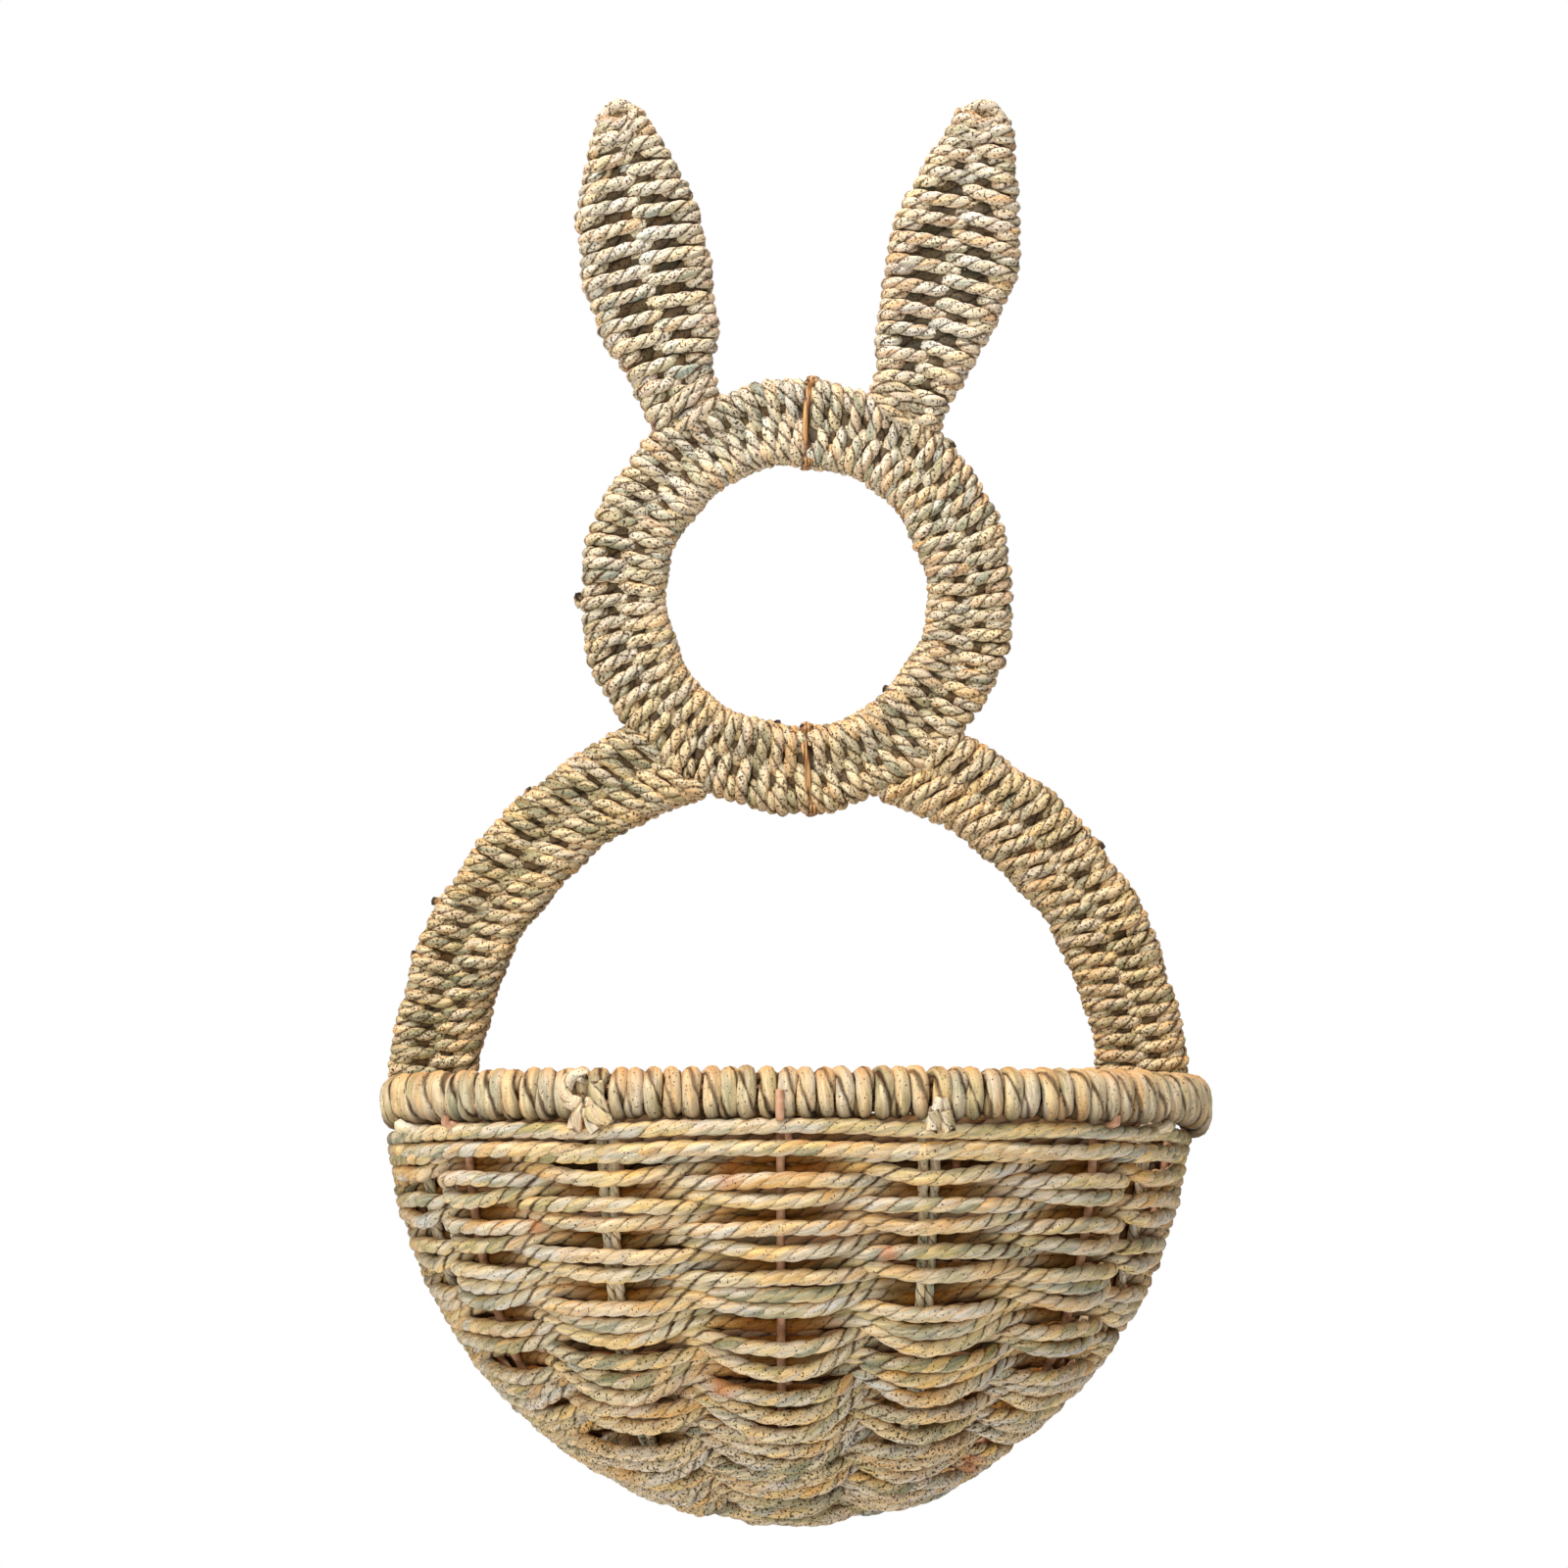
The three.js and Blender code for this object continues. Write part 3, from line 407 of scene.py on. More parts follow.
@functools.cache
def rope_tree():
    """Lines in, two-ply ropes out: each ply winds round its line and varies in thickness."""
    tree, add, given = new_tree("Plied rope", ROPE_INPUTS)
    along, ply, strand, swell, thickness, tint, crest = [
        add("InputNamedAttribute.FLOAT", mark)
        for mark in ("along", "ply", "strand", "swell", "thickness", "tint", "crest")]
    core, ring = [add("InputNamedAttribute.FLOAT_VECTOR", mark) for mark in ("core", "ring")]
    here = add("InputPosition")
    normal = add("InputNormal", out="Normal")
    radius = add("Math.MULTIPLY", given["Diameter"], 0.5)
    seed = add("Math.MULTIPLY", given["Seed"], 3.7)

    line = add("ResampleCurve", add("MeshToCurve", given["Geometry"]), None, given["Step"], mode="LENGTH")
    stray = add("TexNoise", here, seed, 1 / WANDER_LENGTH, 1.0, noise_dimensions="4D", out="Color")
    stray = add("VectorMath.SCALE", add("VectorMath.SUBTRACT", stray, (0.5, 0.5, 0.5)),
                add("Math.MULTIPLY", given["Slack"], 3.0))
    line = add("SetPosition", line, None, None, stray)
    line = add("StoreNamedAttribute.FLOAT_VECTOR", line, None, "core", here)
    line = add("StoreNamedAttribute.FLOAT", line, None, "along", add("SplineParameter", out="Length"))

    plies, number = add("DuplicateElements", line, None, PLY_COUNT, domain="SPLINE").node.outputs
    plies = add("StoreNamedAttribute.FLOAT", plies, None, "ply", number)
    turn = add("Math.ADD", add("Math.DIVIDE", along, given["Lay"]), add("Math.DIVIDE", ply, PLY_COUNT))
    angle = add("Math.MULTIPLY", add("Math.ADD", turn, strand), -2 * math.pi)
    beside = add("VectorMath.CROSS_PRODUCT", add("InputTangent"), normal)
    swing = add("VectorMath.ADD", add("VectorMath.SCALE", normal, add("Math.COSINE", angle)),
                add("VectorMath.SCALE", beside, add("Math.SINE", angle)))
    swing = add("VectorMath.SCALE", swing, add("Math.MULTIPLY", radius, PLY_OFFSET_SHARE))

    ply_seed = add("Math.MULTIPLY_ADD", ply, 5.3, seed)
    lump = add("TexNoise", here, ply_seed, 1 / LUMP_LENGTH, 1.0, noise_dimensions="4D")
    lump = add("Math.MULTIPLY", add("Math.SUBTRACT", lump, 0.5),
               add("Math.MULTIPLY", given["Unevenness"], 2.0))
    size = add("Math.MULTIPLY", add("Math.ADD", lump, swell), add("Math.MULTIPLY", radius, PLY_RADIUS_SHARE))
    plies = add("StoreNamedAttribute.FLOAT", plies, None, "thickness", size)
    own_tint = add("RandomValue.FLOAT", None, None, add("CurveOfPoint", out="Curve Index"), given["Seed"])
    plies = add("StoreNamedAttribute.FLOAT", plies, None, "tint", own_tint)
    plies = add("SetPosition", plies, None, None, swing)

    profile = add("StoreNamedAttribute.FLOAT_VECTOR", add("CurvePrimitiveCircle", given["Sides"], 1.0), None,
                  "ring", here)
    mesh = add("CurveToMesh", plies, profile, inputs={"Scale": thickness, "Fill Caps": True})
    distance = add("VectorMath.DISTANCE", here, core)
    mesh = add("StoreNamedAttribute.FLOAT", mesh, None, "crest", add("Math.DIVIDE", distance, radius))

    # The plies are pressed flat against each other, so the rope is rounder than two round plies
    outside = add("MapRange", crest, 0.5, 0.66, 0.0, PRESSING)
    pressed = add("Math.MULTIPLY", add("Math.SUBTRACT", PRESSED_SHARE, crest), outside)
    pressed = add("VectorMath.SCALE", add("VectorMath.SUBTRACT", here, core),
                  add("Math.DIVIDE", pressed, crest))
    mesh = add("SetPosition", mesh, None, None, pressed)

    # Leaf edges stand out as long creases
    run = add("Math.MULTIPLY_ADD", along, 1 / CREASE_LENGTH, add("Math.MULTIPLY", tint, 40.0))
    crease_place = add("VectorMath.ADD", add("VectorMath.SCALE", ring, 1.1), add("CombineXYZ", 0.0, 0.0, run))
    crease = add("Math.SUBTRACT", add("TexNoise", crease_place, 1.0, 1.0), 0.5)
    crease = add("VectorMath.SCALE", normal, add("Math.MULTIPLY", crease, 2 * CREASE_DEPTH))
    end_tree(add, add("SetPosition", mesh, None, None, crease), given["Material"])
    return tree


WINDING_INPUTS = {"Turns": 20.0, "Spacing Turns": 20.0, "Spacing Seed": 1.0, "Spacing Noise": 0.35,
                  "Crossings": 2.0, "Phase": 0.0, "Depth": 3.7 * MM, "Roundness": 1.0, "Lean": 0.0,
                  "Bulge": 0.0, "Outer Edge Light": 0.3, "Inner Edge Light": 0.3, "Inner Shade": 0.0}
SAMPLES_PER_TURN = 24
VECTOR_MARKS = ("reach", "front", "droop")


@functools.cache
def winding_tree():
    """A guide line in, rope wound round it out. With two crossings a turn the rope passes between
    its two wires in a figure of eight, and with one it goes round both."""
    tree, add, given = new_tree("Winding", {**WINDING_INPUTS, **ROPE_INPUTS})
    guide = add("MeshToCurve", given["Geometry"])
    count = add("Math.ROUND", add("Math.MULTIPLY", given["Turns"], SAMPLES_PER_TURN))
    line = add("MeshLine", count)
    place = add("Math.DIVIDE", add("InputIndex"), add("Math.SUBTRACT", count, 1.0))
    turn = add("Math.MULTIPLY", place, given["Turns"])
    angle = add("Math.MULTIPLY_ADD", turn, 2 * math.pi, given["Phase"])
    cosine = add("Math.COSINE", angle)
    sine = add("Math.SINE", add("Math.MULTIPLY", angle, given["Crossings"]))

    # No hand lays the turns quite evenly
    beat = add("Math.MULTIPLY", place, given["Spacing Turns"])
    beat = add("Math.MULTIPLY_ADD", beat, 0.6, given["Spacing Seed"])
    uneven = add("Math.SUBTRACT", add("TexNoise", beat, 1.0, 1.0, noise_dimensions="1D"), 0.5)
    shift = add("Math.MULTIPLY", add("Math.MULTIPLY", uneven, given["Spacing Noise"]), 2.0)
    shift = add("Math.DIVIDE", shift, given["Spacing Turns"])
    lean = add("Math.DIVIDE", add("Math.MULTIPLY", cosine, given["Lean"]), given["Turns"])
    place = add("Math.ADD", place, add("Math.ADD", shift, lean))

    reach, front, droop = [
        add("SampleCurve.FLOAT_VECTOR", guide, add("InputNamedAttribute.FLOAT_VECTOR", mark), place)
        for mark in VECTOR_MARKS]
    warm, shade = [add("SampleCurve.FLOAT", guide, add("InputNamedAttribute.FLOAT", mark), place)
                   for mark in ("warm", "shade")]
    width, rise = [add("Math.MULTIPLY", add("Math.SIGN", wave),
                       add("Math.POWER", add("Math.ABSOLUTE", wave), given["Roundness"]))
                   for wave in (cosine, sine)]
    inward = add("Math.SUBTRACT", 1.0, add("Math.ABSOLUTE", cosine))
    depth = add("Math.MULTIPLY", add("Math.MULTIPLY_ADD", inward, given["Bulge"], rise), given["Depth"])
    point = reach.node.outputs["Position"]
    for direction, share in ((reach, width), (front, depth), (droop, inward)):
        point = add("VectorMath.ADD", point, add("VectorMath.SCALE", direction, share))
    line = add("SetPosition", line, None, point)

    # Painted light: the winding's edges get painted golden light, and its inner edge can get painted shade,
    # as on the rim's underside, away from light from above
    outer = add("Math.POWER", add("Math.MAXIMUM", cosine, 0.0), 2.0)
    inner = add("Math.MINIMUM", cosine, 0.0)
    inner = add("Math.MULTIPLY", inner, inner)
    edges = add("Math.ADD", add("Math.MULTIPLY", outer, given["Outer Edge Light"]),
                add("Math.MULTIPLY", inner, given["Inner Edge Light"]))
    marks = {"strand": add("Math.MULTIPLY", given["Seed"], 0.37), "warm": add("Math.ADD", warm, edges),
             "shade": add("Math.MULTIPLY_ADD", inner, given["Inner Shade"], shade), "swell": 1.0}
    for mark, value in marks.items():
        line = add("StoreNamedAttribute.FLOAT", line, None, mark, value)
    ropes = add("GeometryNodeGroup", node_tree=rope_tree(),
                inputs={"Geometry": line, **{label: given[label] for label in ROPE_INPUTS}})
    add("GroupOutput", ropes)
    return tree


@functools.cache
def wire_tree():
    """Lines in, round wires out."""
    tree, add, given = new_tree("Wire", {"Radius": WIRE_RADIUS, "Sides": 12, "Material": None})
    profile = add("CurvePrimitiveCircle", given["Sides"], given["Radius"])
    mesh = add("CurveToMesh", add("MeshToCurve", given["Geometry"]), profile, inputs={"Fill Caps": True})
    end_tree(add, mesh, given["Material"])
    return tree


# Meshes grown from lines


def line_mesh(lines, marks):
    """A mesh of open lines. marks holds what each point is marked with: one entry for all the
    lines, or a list with one for each, and an entry holds one value for a line or one a point."""
    mesh = bpy.data.meshes.new("lines")
    starts = np.cumsum([0] + [len(line) for line in lines])
    edges = [(a + i, a + i + 1) for a, line in zip(starts, lines) for i in range(len(line) - 1)]
    mesh.from_pydata([tuple(p) for line in lines for p in line], edges, [])
    for name, entries in marks.items():
        width, kind, key = (3, "FLOAT_VECTOR", "vector") if name in VECTOR_MARKS else (1, "FLOAT", "value")
        entries = entries if isinstance(entries, list) else [entries] * len(lines)
        full = [np.broadcast_to(np.reshape(entry, (-1, width)), (len(line), width))
                for entry, line in zip(entries, lines)]
        flat = np.concatenate(full).astype(np.float32).ravel()
        mesh.attributes.new(name, kind, "POINT").data.foreach_set(key, flat)
    return mesh


def grown(mesh, tree, inputs):
    """Runs a node tree on a mesh and gives the result back as a plain mesh."""
    carrier = bpy.data.objects.new("carrier", mesh)
    bpy.context.scene.collection.objects.link(carrier)
    modifier = carrier.modifiers.new("grow", "NODES")
    modifier.node_group = tree
    for item in tree.interface.items_tree:
        if item.in_out == "INPUT" and item.name in inputs:
            value = inputs[item.name]
            modifier[item.identifier] = float(value) if item.socket_type == "NodeSocketFloat" else value
    evaluated = carrier.evaluated_get(bpy.context.evaluated_depsgraph_get())
    result = bpy.data.meshes.new_from_object(evaluated)
    carrier.modifiers.remove(modifier)
    bpy.data.objects.remove(carrier)
    return result


def joined(*meshes):
    """Several meshes as one, with their attributes and material kept."""
    objects = [bpy.data.objects.new("part", mesh) for mesh in meshes]
    for part in objects:
        bpy.context.scene.collection.objects.link(part)
    with bpy.context.temp_override(active_object=objects[0], object=objects[0], selected_objects=objects,
                                   selected_editable_objects=objects):
        bpy.ops.object.join()
    mesh = objects[0].data
    bpy.data.objects.remove(objects[0])
    return mesh


def place_piece(name, mesh, node):
    """Puts a mesh in the scene as a piece that stands for a CAD node, and hides the node."""
    piece = bpy.data.objects.new(name, mesh)
    mesh.name = name
    bpy.context.scene.collection.objects.link(piece)
    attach(piece, "root")
    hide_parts(node)


def rope_settings(diameter, slot, seed, **more):
    ropes = bpy.context.scene.basket_ropes
    return {"Diameter": diameter, "Lay": diameter * ropes.lay_share, "Sides": ropes.ply_sides,
            "Unevenness": ropes.unevenness, "Slack": ropes.slack, "Seed": ropes.seed + seed,
            "Material": finish_named(slot), **more}


# Rust-coloured stains on the pocket: across, level and size in mm
STAINS = [(-22.7, -243.5, 3.2), (-24.6, -316.8, 3.5), (59.8, -349.4, 3.5), (31, -271, 2.2), (-88, -262, 2.5)]


def stained(line):
    """How rust-coloured each point of a line is: 1 in the middle of a stain and 0 away from it."""
    share = np.zeros(len(line))
    for x, z, size in STAINS:
        away = np.hypot(line[:, 0] - x * MM, line[:, 2] - z * MM) / (size * MM)
        share += np.where(line[:, 1] < HOOP_PLANE - LOBE, np.exp(-away ** 2), 0)
    return np.clip(share, 0, 0.7)


def ropes_along(lines, strands, diameter, seed, marks=None, slot="rope_wrap", **more):
    """Ropes along lines. strands sets where each rope's twist starts."""
    marks = {"strand": strands, "warm": 0.0, "swell": 1.0, "shade": 0.0, "clean": 0.0,
             "stain": [stained(line) for line in lines], **(marks or {})}
    return grown(line_mesh(lines, marks), rope_tree(), rope_settings(diameter, slot, seed, **more))


def winding(guide, reach, front, turns, seed, diameter, shape, marks=None):
    """Rope wound round a guide line. reach is the vector from the guide to the winding's one
    edge, front the direction of its front, and shape holds inputs of the node tree."""
    mesh = line_mesh([guide], {"reach": reach, "front": front, "droop": (0, 0, 0), "warm": 0.0, "shade": 0.0,
                               **(marks or {})})
    settings = {"Turns": turns, "Spacing Turns": turns, "Spacing Seed": seed,
                "Depth": WIRE_RADIUS + diameter / 2}
    ropes = rope_settings(diameter, "rope_wrap", seed, Lay=diameter * WRAP_LAY_SHARE)
    return grown(mesh, winding_tree(), {**settings, **ropes, **shape})


def wires_along(line):
    return grown(line_mesh([line], {}), wire_tree(), {"Material": finish_named("wire")})


def outward_faces(mesh):
    """Turns a closed mesh's faces outwards and smooths it."""
    work = bmesh.new()
    work.from_mesh(mesh)
    bmesh.ops.recalc_face_normals(work, faces=work.faces)
    if work.calc_volume(signed=True) < 0:
        bmesh.ops.reverse_faces(work, faces=work.faces)
    for face in work.faces:
        face.smooth = True
    work.to_mesh(mesh)
    work.free()


def fade(values, reach):
    """1 where the values are 0, falling evenly to 0 where they come to the reach."""
    return np.clip(1 - values / reach, 0, 1)


# Arcs in the hoops' plane, with angles from the top, positive towards the right


def radial(angle):
    """The directions outwards and clockwise at an angle."""
    return (np.array([math.sin(angle), 0, math.cos(angle)]), np.array([math.cos(angle), 0, -math.sin(angle)]))


def arc(centre, radius, start, end, count=90):
    angles = np.linspace(start, end, count)
    return centre + radius * np.stack([np.sin(angles), 0 * angles, np.cos(angles)], 1)


def neck_angle(radius, head_distance, side):
    dx, _, dz = HEAD_CENTRE - BODY_CENTRE
    between = math.hypot(dx, dz)
    cosine = (radius ** 2 + between ** 2 - head_distance ** 2) / (2 * radius * between)
    return math.atan2(dx, dz) + side * math.acos(cosine)


WRAP_FIT = 0.3 * MM
WRAP_LAY_SHARE = 2.2
WOBBLE = 0.55 * MM


def length_of(line):
    """The length of a line from its start to each of its points."""
    return np.concatenate([[0], np.cumsum(np.linalg.norm(np.diff(line, axis=0), axis=1))])


def wobbled(line, away, seed):
    """A line that strays from its place, as a wire bent by hand does."""
    length = length_of(line)
    wave = np.sin(length / (7.5 * MM) + 1.7 * seed) + 0.7 * np.sin(length / (3.6 * MM) + 2.9 * seed)
    return line + away * (WOBBLE * wave)[:, None]


BAND_NOISE = 0.3
UNDER_LAYER = {"Phase": math.pi, "Depth": 0.4 * MM, "Outer Edge Light": 0, "Inner Edge Light": 0}
FILLER_SHARE = 0.9
FILLER_PHASE = 1.24 * math.pi
FILLER_LEAN = 0.12


def band_winding(outer, inner, turns, seed, droop=(0, 0, 0), thicker=1.0):
    """Rope wound in a figure of eight between the wires along a band's two edges, a second layer
    under it, and short turns round each single wire between the long ones."""
    diameter = bpy.context.scene.basket_ropes.wrap_diameter * thicker
    across = unit(outer - inner)
    outer, inner = wobbled(outer, across, seed), wobbled(inner, across, seed + 5)
    guide = (outer + inner) / 2
    half = np.linalg.norm(outer - inner, axis=1)[:, None] / 2
    reach = across * (half - diameter / 2)
    spacing = {"Spacing Turns": turns, "Spacing Seed": seed, "Spacing Noise": BAND_NOISE}
    parts = [winding(guide, reach, TOWARDS_FRONT, turns, seed, diameter, {**spacing, "Bulge": 0.4},
                     {"droop": droop}),
             # The second layer shows only in the gaps, so it is painted nearly full shade and gets no painted
             # edge light
             winding(guide, reach - across * diameter / 2.5, TOWARDS_FRONT, turns, seed + 17, diameter * 1.2,
                     {**spacing, **UNDER_LAYER}, {"droop": droop, "shade": 0.9})]
    small = diameter * FILLER_SHARE
    loop = WIRE_RADIUS + small / 2
    for side in (1, -1):
        line = guide + side * across * np.maximum(half - small / 2 - loop, WRAP_FIT)
        shape = {**spacing, "Crossings": 1, "Depth": side * (loop - WRAP_FIT), "Phase": FILLER_PHASE,
                 "Lean": side * FILLER_LEAN}
        parts.append(winding(line, across * (loop - WRAP_FIT), TOWARDS_FRONT, turns, seed + 31 + side, small,
                             shape))
    return joined(*parts)


# Pocket surface: u runs from the left hoop over the front to the right hoop, v from rim to bottom


def plan_shares(u):
    side = np.cos(np.pi * u)
    front = np.clip(np.sin(np.pi * u), 0, 1)
    return -np.sign(side) * np.abs(side) ** (2 / PLAN_POWER), front ** (2 / PLAN_POWER)


def width_at(level):
    return HOOP_RADIUS * np.sqrt(np.clip(1 - (level / HOOP_DROP) ** 2, 0, 1))


def depth_at(level):
    share = np.clip(np.abs(level) / HOOP_DROP, 0, 1)
    return POCKET_DEPTH * (1 - share ** PROFILE_POWER) ** (1 / PROFILE_POWER)


def pocket_point(u, level):
    across, front = plan_shares(u)
    return BODY_CENTRE + np.stack([width_at(level) * across, -depth_at(level) * front, level + 0 * u], -1)


def front_profile():
    """Levels down the front at equal steps of length, from under the rim to the hoop."""
    top = RIM_END_LEVEL + RIM_RISE - RIM_HALF_HEIGHT - ROW_GAP
    rest = (WIRE_RADIUS + WEAVE_FIT + ROW_GAP) / POCKET_DEPTH
    last = (1 - rest ** PROFILE_POWER) ** (1 / PROFILE_POWER)
    level = -HOOP_DROP * np.sin(np.linspace(math.asin(-top / HOOP_DROP), math.asin(last), 400))
    length = length_of(np.stack([level, depth_at(level)], 1))
    return length / length[-1], level


PROFILE = front_profile()


def row_level(u, v):
    lift = -RIM_RISE * (1 - v) ** 2 + 4 * SIDE_LIFT * v * (1 - v)
    return np.interp(v, *PROFILE) + lift * (1 - plan_shares(u)[1])


def weave_point(u, v):
    return pocket_point(u, row_level(u, v))


def weave_frame(u, v):
    """Point, outward normal, upward direction and reach of one whole v step, along a row."""
    nudge = 0.004
    inside = np.clip(u, nudge, 1 - nudge)
    high, low = max(v - nudge, 0), min(v + nudge, 1)
    along = unit(weave_point(inside + nudge, v) - weave_point(inside - nudge, v))
    down = (weave_point(inside, low) - weave_point(inside, high)) / (low - high)
    outward = unit(np.cross(down, along))
    point = weave_point(u, v)
    facing = np.sum(outward * (point - BODY_CENTRE), axis=1)
    outward *= np.where(facing < 0, -1, 1)[:, None]
    up = unit(np.cross(outward, along))
    up *= np.where(np.sum(up * down, axis=1) > 0, -1, 1)[:, None]
    return point, outward, up, np.abs(np.sum(down * up, axis=1))


def stake_line(stake):
    """Where a stake is across at the rim and on the hoop, and how far out it is at the rim."""
    _, rim_share, hoop_share, _ = stake
    rim_y = POCKET_DEPTH * (1 - abs(rim_share) ** PLAN_POWER) ** (1 / PLAN_POWER)
    return rim_share * HOOP_RADIUS, hoop_share * HOOP_RADIUS, rim_y


def solve(test, low, high):
    """Where a rising test passes 0 between two values."""
    for _ in range(40):
        centre = (low + high) / 2
        low, high = (centre, high) if test(centre) < 0 else (low, centre)
    return (low + high) / 2


def stake_place(line, angle):
    """The place u and the level where a stake meets the pocket's surface, at an angle down it."""
    rim_x, hoop_x, rim_y = line
    x = hoop_x + (rim_x - hoop_x) * math.cos(angle)
    y = rim_y * math.cos(angle)

    def overflow(share):
        level = -HOOP_DROP * share
        return abs(x / width_at(level)) ** PLAN_POWER + (y / depth_at(level)) ** PLAN_POWER - 1

    level = -HOOP_DROP * solve(overflow, 0, 0.999999)
    across = abs(x / width_at(level)) ** (PLAN_POWER / 2) * np.sign(-x)
    front = (y / depth_at(level)) ** (PLAN_POWER / 2)
    return math.atan2(front, across) / math.pi, level


def stake_points(stake):
    """The line of a front stake, from its reach up the rim's face to the hoop."""
    line = stake_line(stake)

    def under_rim(angle):
        u, level = stake_place(line, angle)
        return RIM_END_LEVEL + RIM_RISE * plan_shares(u)[1] - RIM_HALF_HEIGHT - WRAP_FIT - level

    start = solve(under_rim, 0, math.pi / 4)
    half = WIRE_RADIUS if stake[0] == "wire" else STRAND_PAIR_RADIUS
    end = math.acos((WIRE_RADIUS + WEAVE_FIT + half) / line[2])
    places = [stake_place(line, angle) for angle in np.linspace(start, end, 40)]
    points = np.array([pocket_point(np.array(u), level) for u, level in places])
    outward = unit((points[0] - BODY_CENTRE) * np.array([1, 1, 0]))
    rises = np.linspace(1, 0.1, 8)[:, None]
    face = points[0] + outward * (LOBE + FACE_GAP) * np.sin(np.pi / 2 * np.minimum(1, rises * 2.5))
    return np.concatenate([face + UPWARDS * rises * stake[3] * MM, points])


def crossing_at(stake, v):
    """The place u where a row at v crosses a stake, or None where the stake ends above it."""
    rim_x, hoop_x, rim_y = stake_line(stake)
    if abs(hoop_x) > width_at(row_level(0.0, v)):
        return None

    def beside(u):
        place = weave_point(np.array(u), v) - BODY_CENTRE
        return place[0] - hoop_x - (rim_x - hoop_x) * -place[1] / rim_y

    return solve(beside, 0, 1)


def row_knots(row, v, step):
    """Places u along a row, with 1 where it passes in front of a stake and -1 where behind."""
    knots = [(0, 1)]
    for i, stake in enumerate(FRONT_STAKES):
        u = crossing_at(stake, v)
        u = crossing_at(stake, v - step / 2) if u is None else u
        if u is None:
            continue
        near_hoop = -(weave_point(np.array(u), v) - BODY_CENTRE)[1] < OUTSIDE_REACH
        knots.append((u, 1 if row == 0 or near_hoop or (row + i) % 2 == 1 else -1))
    return knots + [(1, 1)]


def eased(knots, places, hold):
    """Values between knots: held near each knot for a share of the way, with a smooth change."""
    at, values = np.array(knots, float).T
    i = np.clip(np.searchsorted(at, places, side="right") - 1, 0, len(at) - 2)
    share = (places - at[i]) / (at[i + 1] - at[i])
    share = np.clip((share - hold) / (1 - 2 * hold), 0, 1)
    share = share * share * (3 - 2 * share)
    return values[i] + (values[i + 1] - values[i]) * share


STUB_LENGTH = 4.5 * MM
STUB_DIAMETER = 3.6 * MM
STUB_BEND = 1.5 * MM


def stub(point, direction, seed):
    """The loose end of a strand, which stands out a little from the winding."""
    direction = unit(direction)
    shares = np.linspace(0, 1, 8)
    bend = np.cross(direction, TOWARDS_FRONT) * STUB_BEND
    line = point + direction * STUB_LENGTH * (shares - 0.9)[:, None] + bend * shares[:, None] ** 2
    return ropes_along([line], [seed * 0.7], STUB_DIAMETER, seed, {
        "warm": 0.2, "swell": np.interp(shares, [0, 0.8, 1], [1, 0.9, 0.6]),
        "shade": np.interp(shares, [0, 0.6, 1], [0.2, 0.5, 1])})


# Operators: one for each piece or group of like pieces


class BASKET_OT_wires(bpy.types.Operator):
    """Hoop, front and back stakes as round wires, and lacquer on the wires inside the wraps"""
    bl_idname = "basket.wires"
    bl_label = "Wires"

    def execute(self, context):
        start, end = [neck_angle(HOOP_RADIUS, HEAD_OUTER_RADIUS - LOBE + 2 * WIRE_RADIUS, side)
                      for side in (1, -1)]
        angles = np.linspace(start, end + 2 * math.pi, 160)
        height = np.where(np.cos(angles) > 0, HOOP_RADIUS, HOOP_DROP)
        hoop = BODY_CENTRE + np.stack([HOOP_RADIUS * np.sin(angles), 0 * angles, height * np.cos(angles)], 1)
        place_piece("hoop_wire", wires_along(hoop), "body_hoop")
        for i, stake in enumerate(FRONT_STAKES, 1):
            if stake[0] == "wire":
                place_piece(f"front_wire_{i}", wires_along(stake_points(stake)), f"front_stake_{i}")
        for i, share in enumerate(BACK_STAKE_SHARES, 1):
            low, high = corners(f"back_stake_{i}")
            x = share * HOOP_RADIUS + BODY_CENTRE[0]
            line = np.linspace([x, HOOP_PLANE, high[2]], [x, HOOP_PLANE, low[2]], 20)
            place_piece(f"back_wire_{i}", wires_along(line), f"back_stake_{i}")
        for node, slot in SLOTS.items():
            if slot == "wire":
                materials = frame["nodes"][node].data.materials
                materials.clear()
                materials.append(finish_named("wire"))
        return {"FINISHED"}


HEAD_RADIUS = (HEAD_OUTER_RADIUS + HEAD_INNER_RADIUS) / 2
HEAD_HALF_WIDTH = (HEAD_OUTER_RADIUS - HEAD_INNER_RADIUS) / 2
HEAD_TURN = math.radians(6)
TIE_ANGLE = 4.2 * MM / HEAD_RADIUS
TIE_GAP = 1.5 * MM / HEAD_RADIUS

# Cut ends on the head ring: angle in degrees, distance from the centre in mm, and 1 or -1 for
# ends that point outwards or inwards
HEAD_STUBS = {"right": [(46, 78, 1), (137, 46.5, -1)], "left": [(270, 79, 1), (190, 46.5, -1)]}

# The flat leaf of a tie, with its cross-section as places across it and through it
LEAF_WIDTH = 3.1 * MM
LEAF_THICKNESS = 0.8 * MM
LEAF_FOLD = 2.2 * MM
LEAF_SECTION = [(-1, 0.25), (-0.5, 0.9), (0, 1), (0.5, 0.9), (1, 0.25), (0.5, 0), (-0.5, 0)]


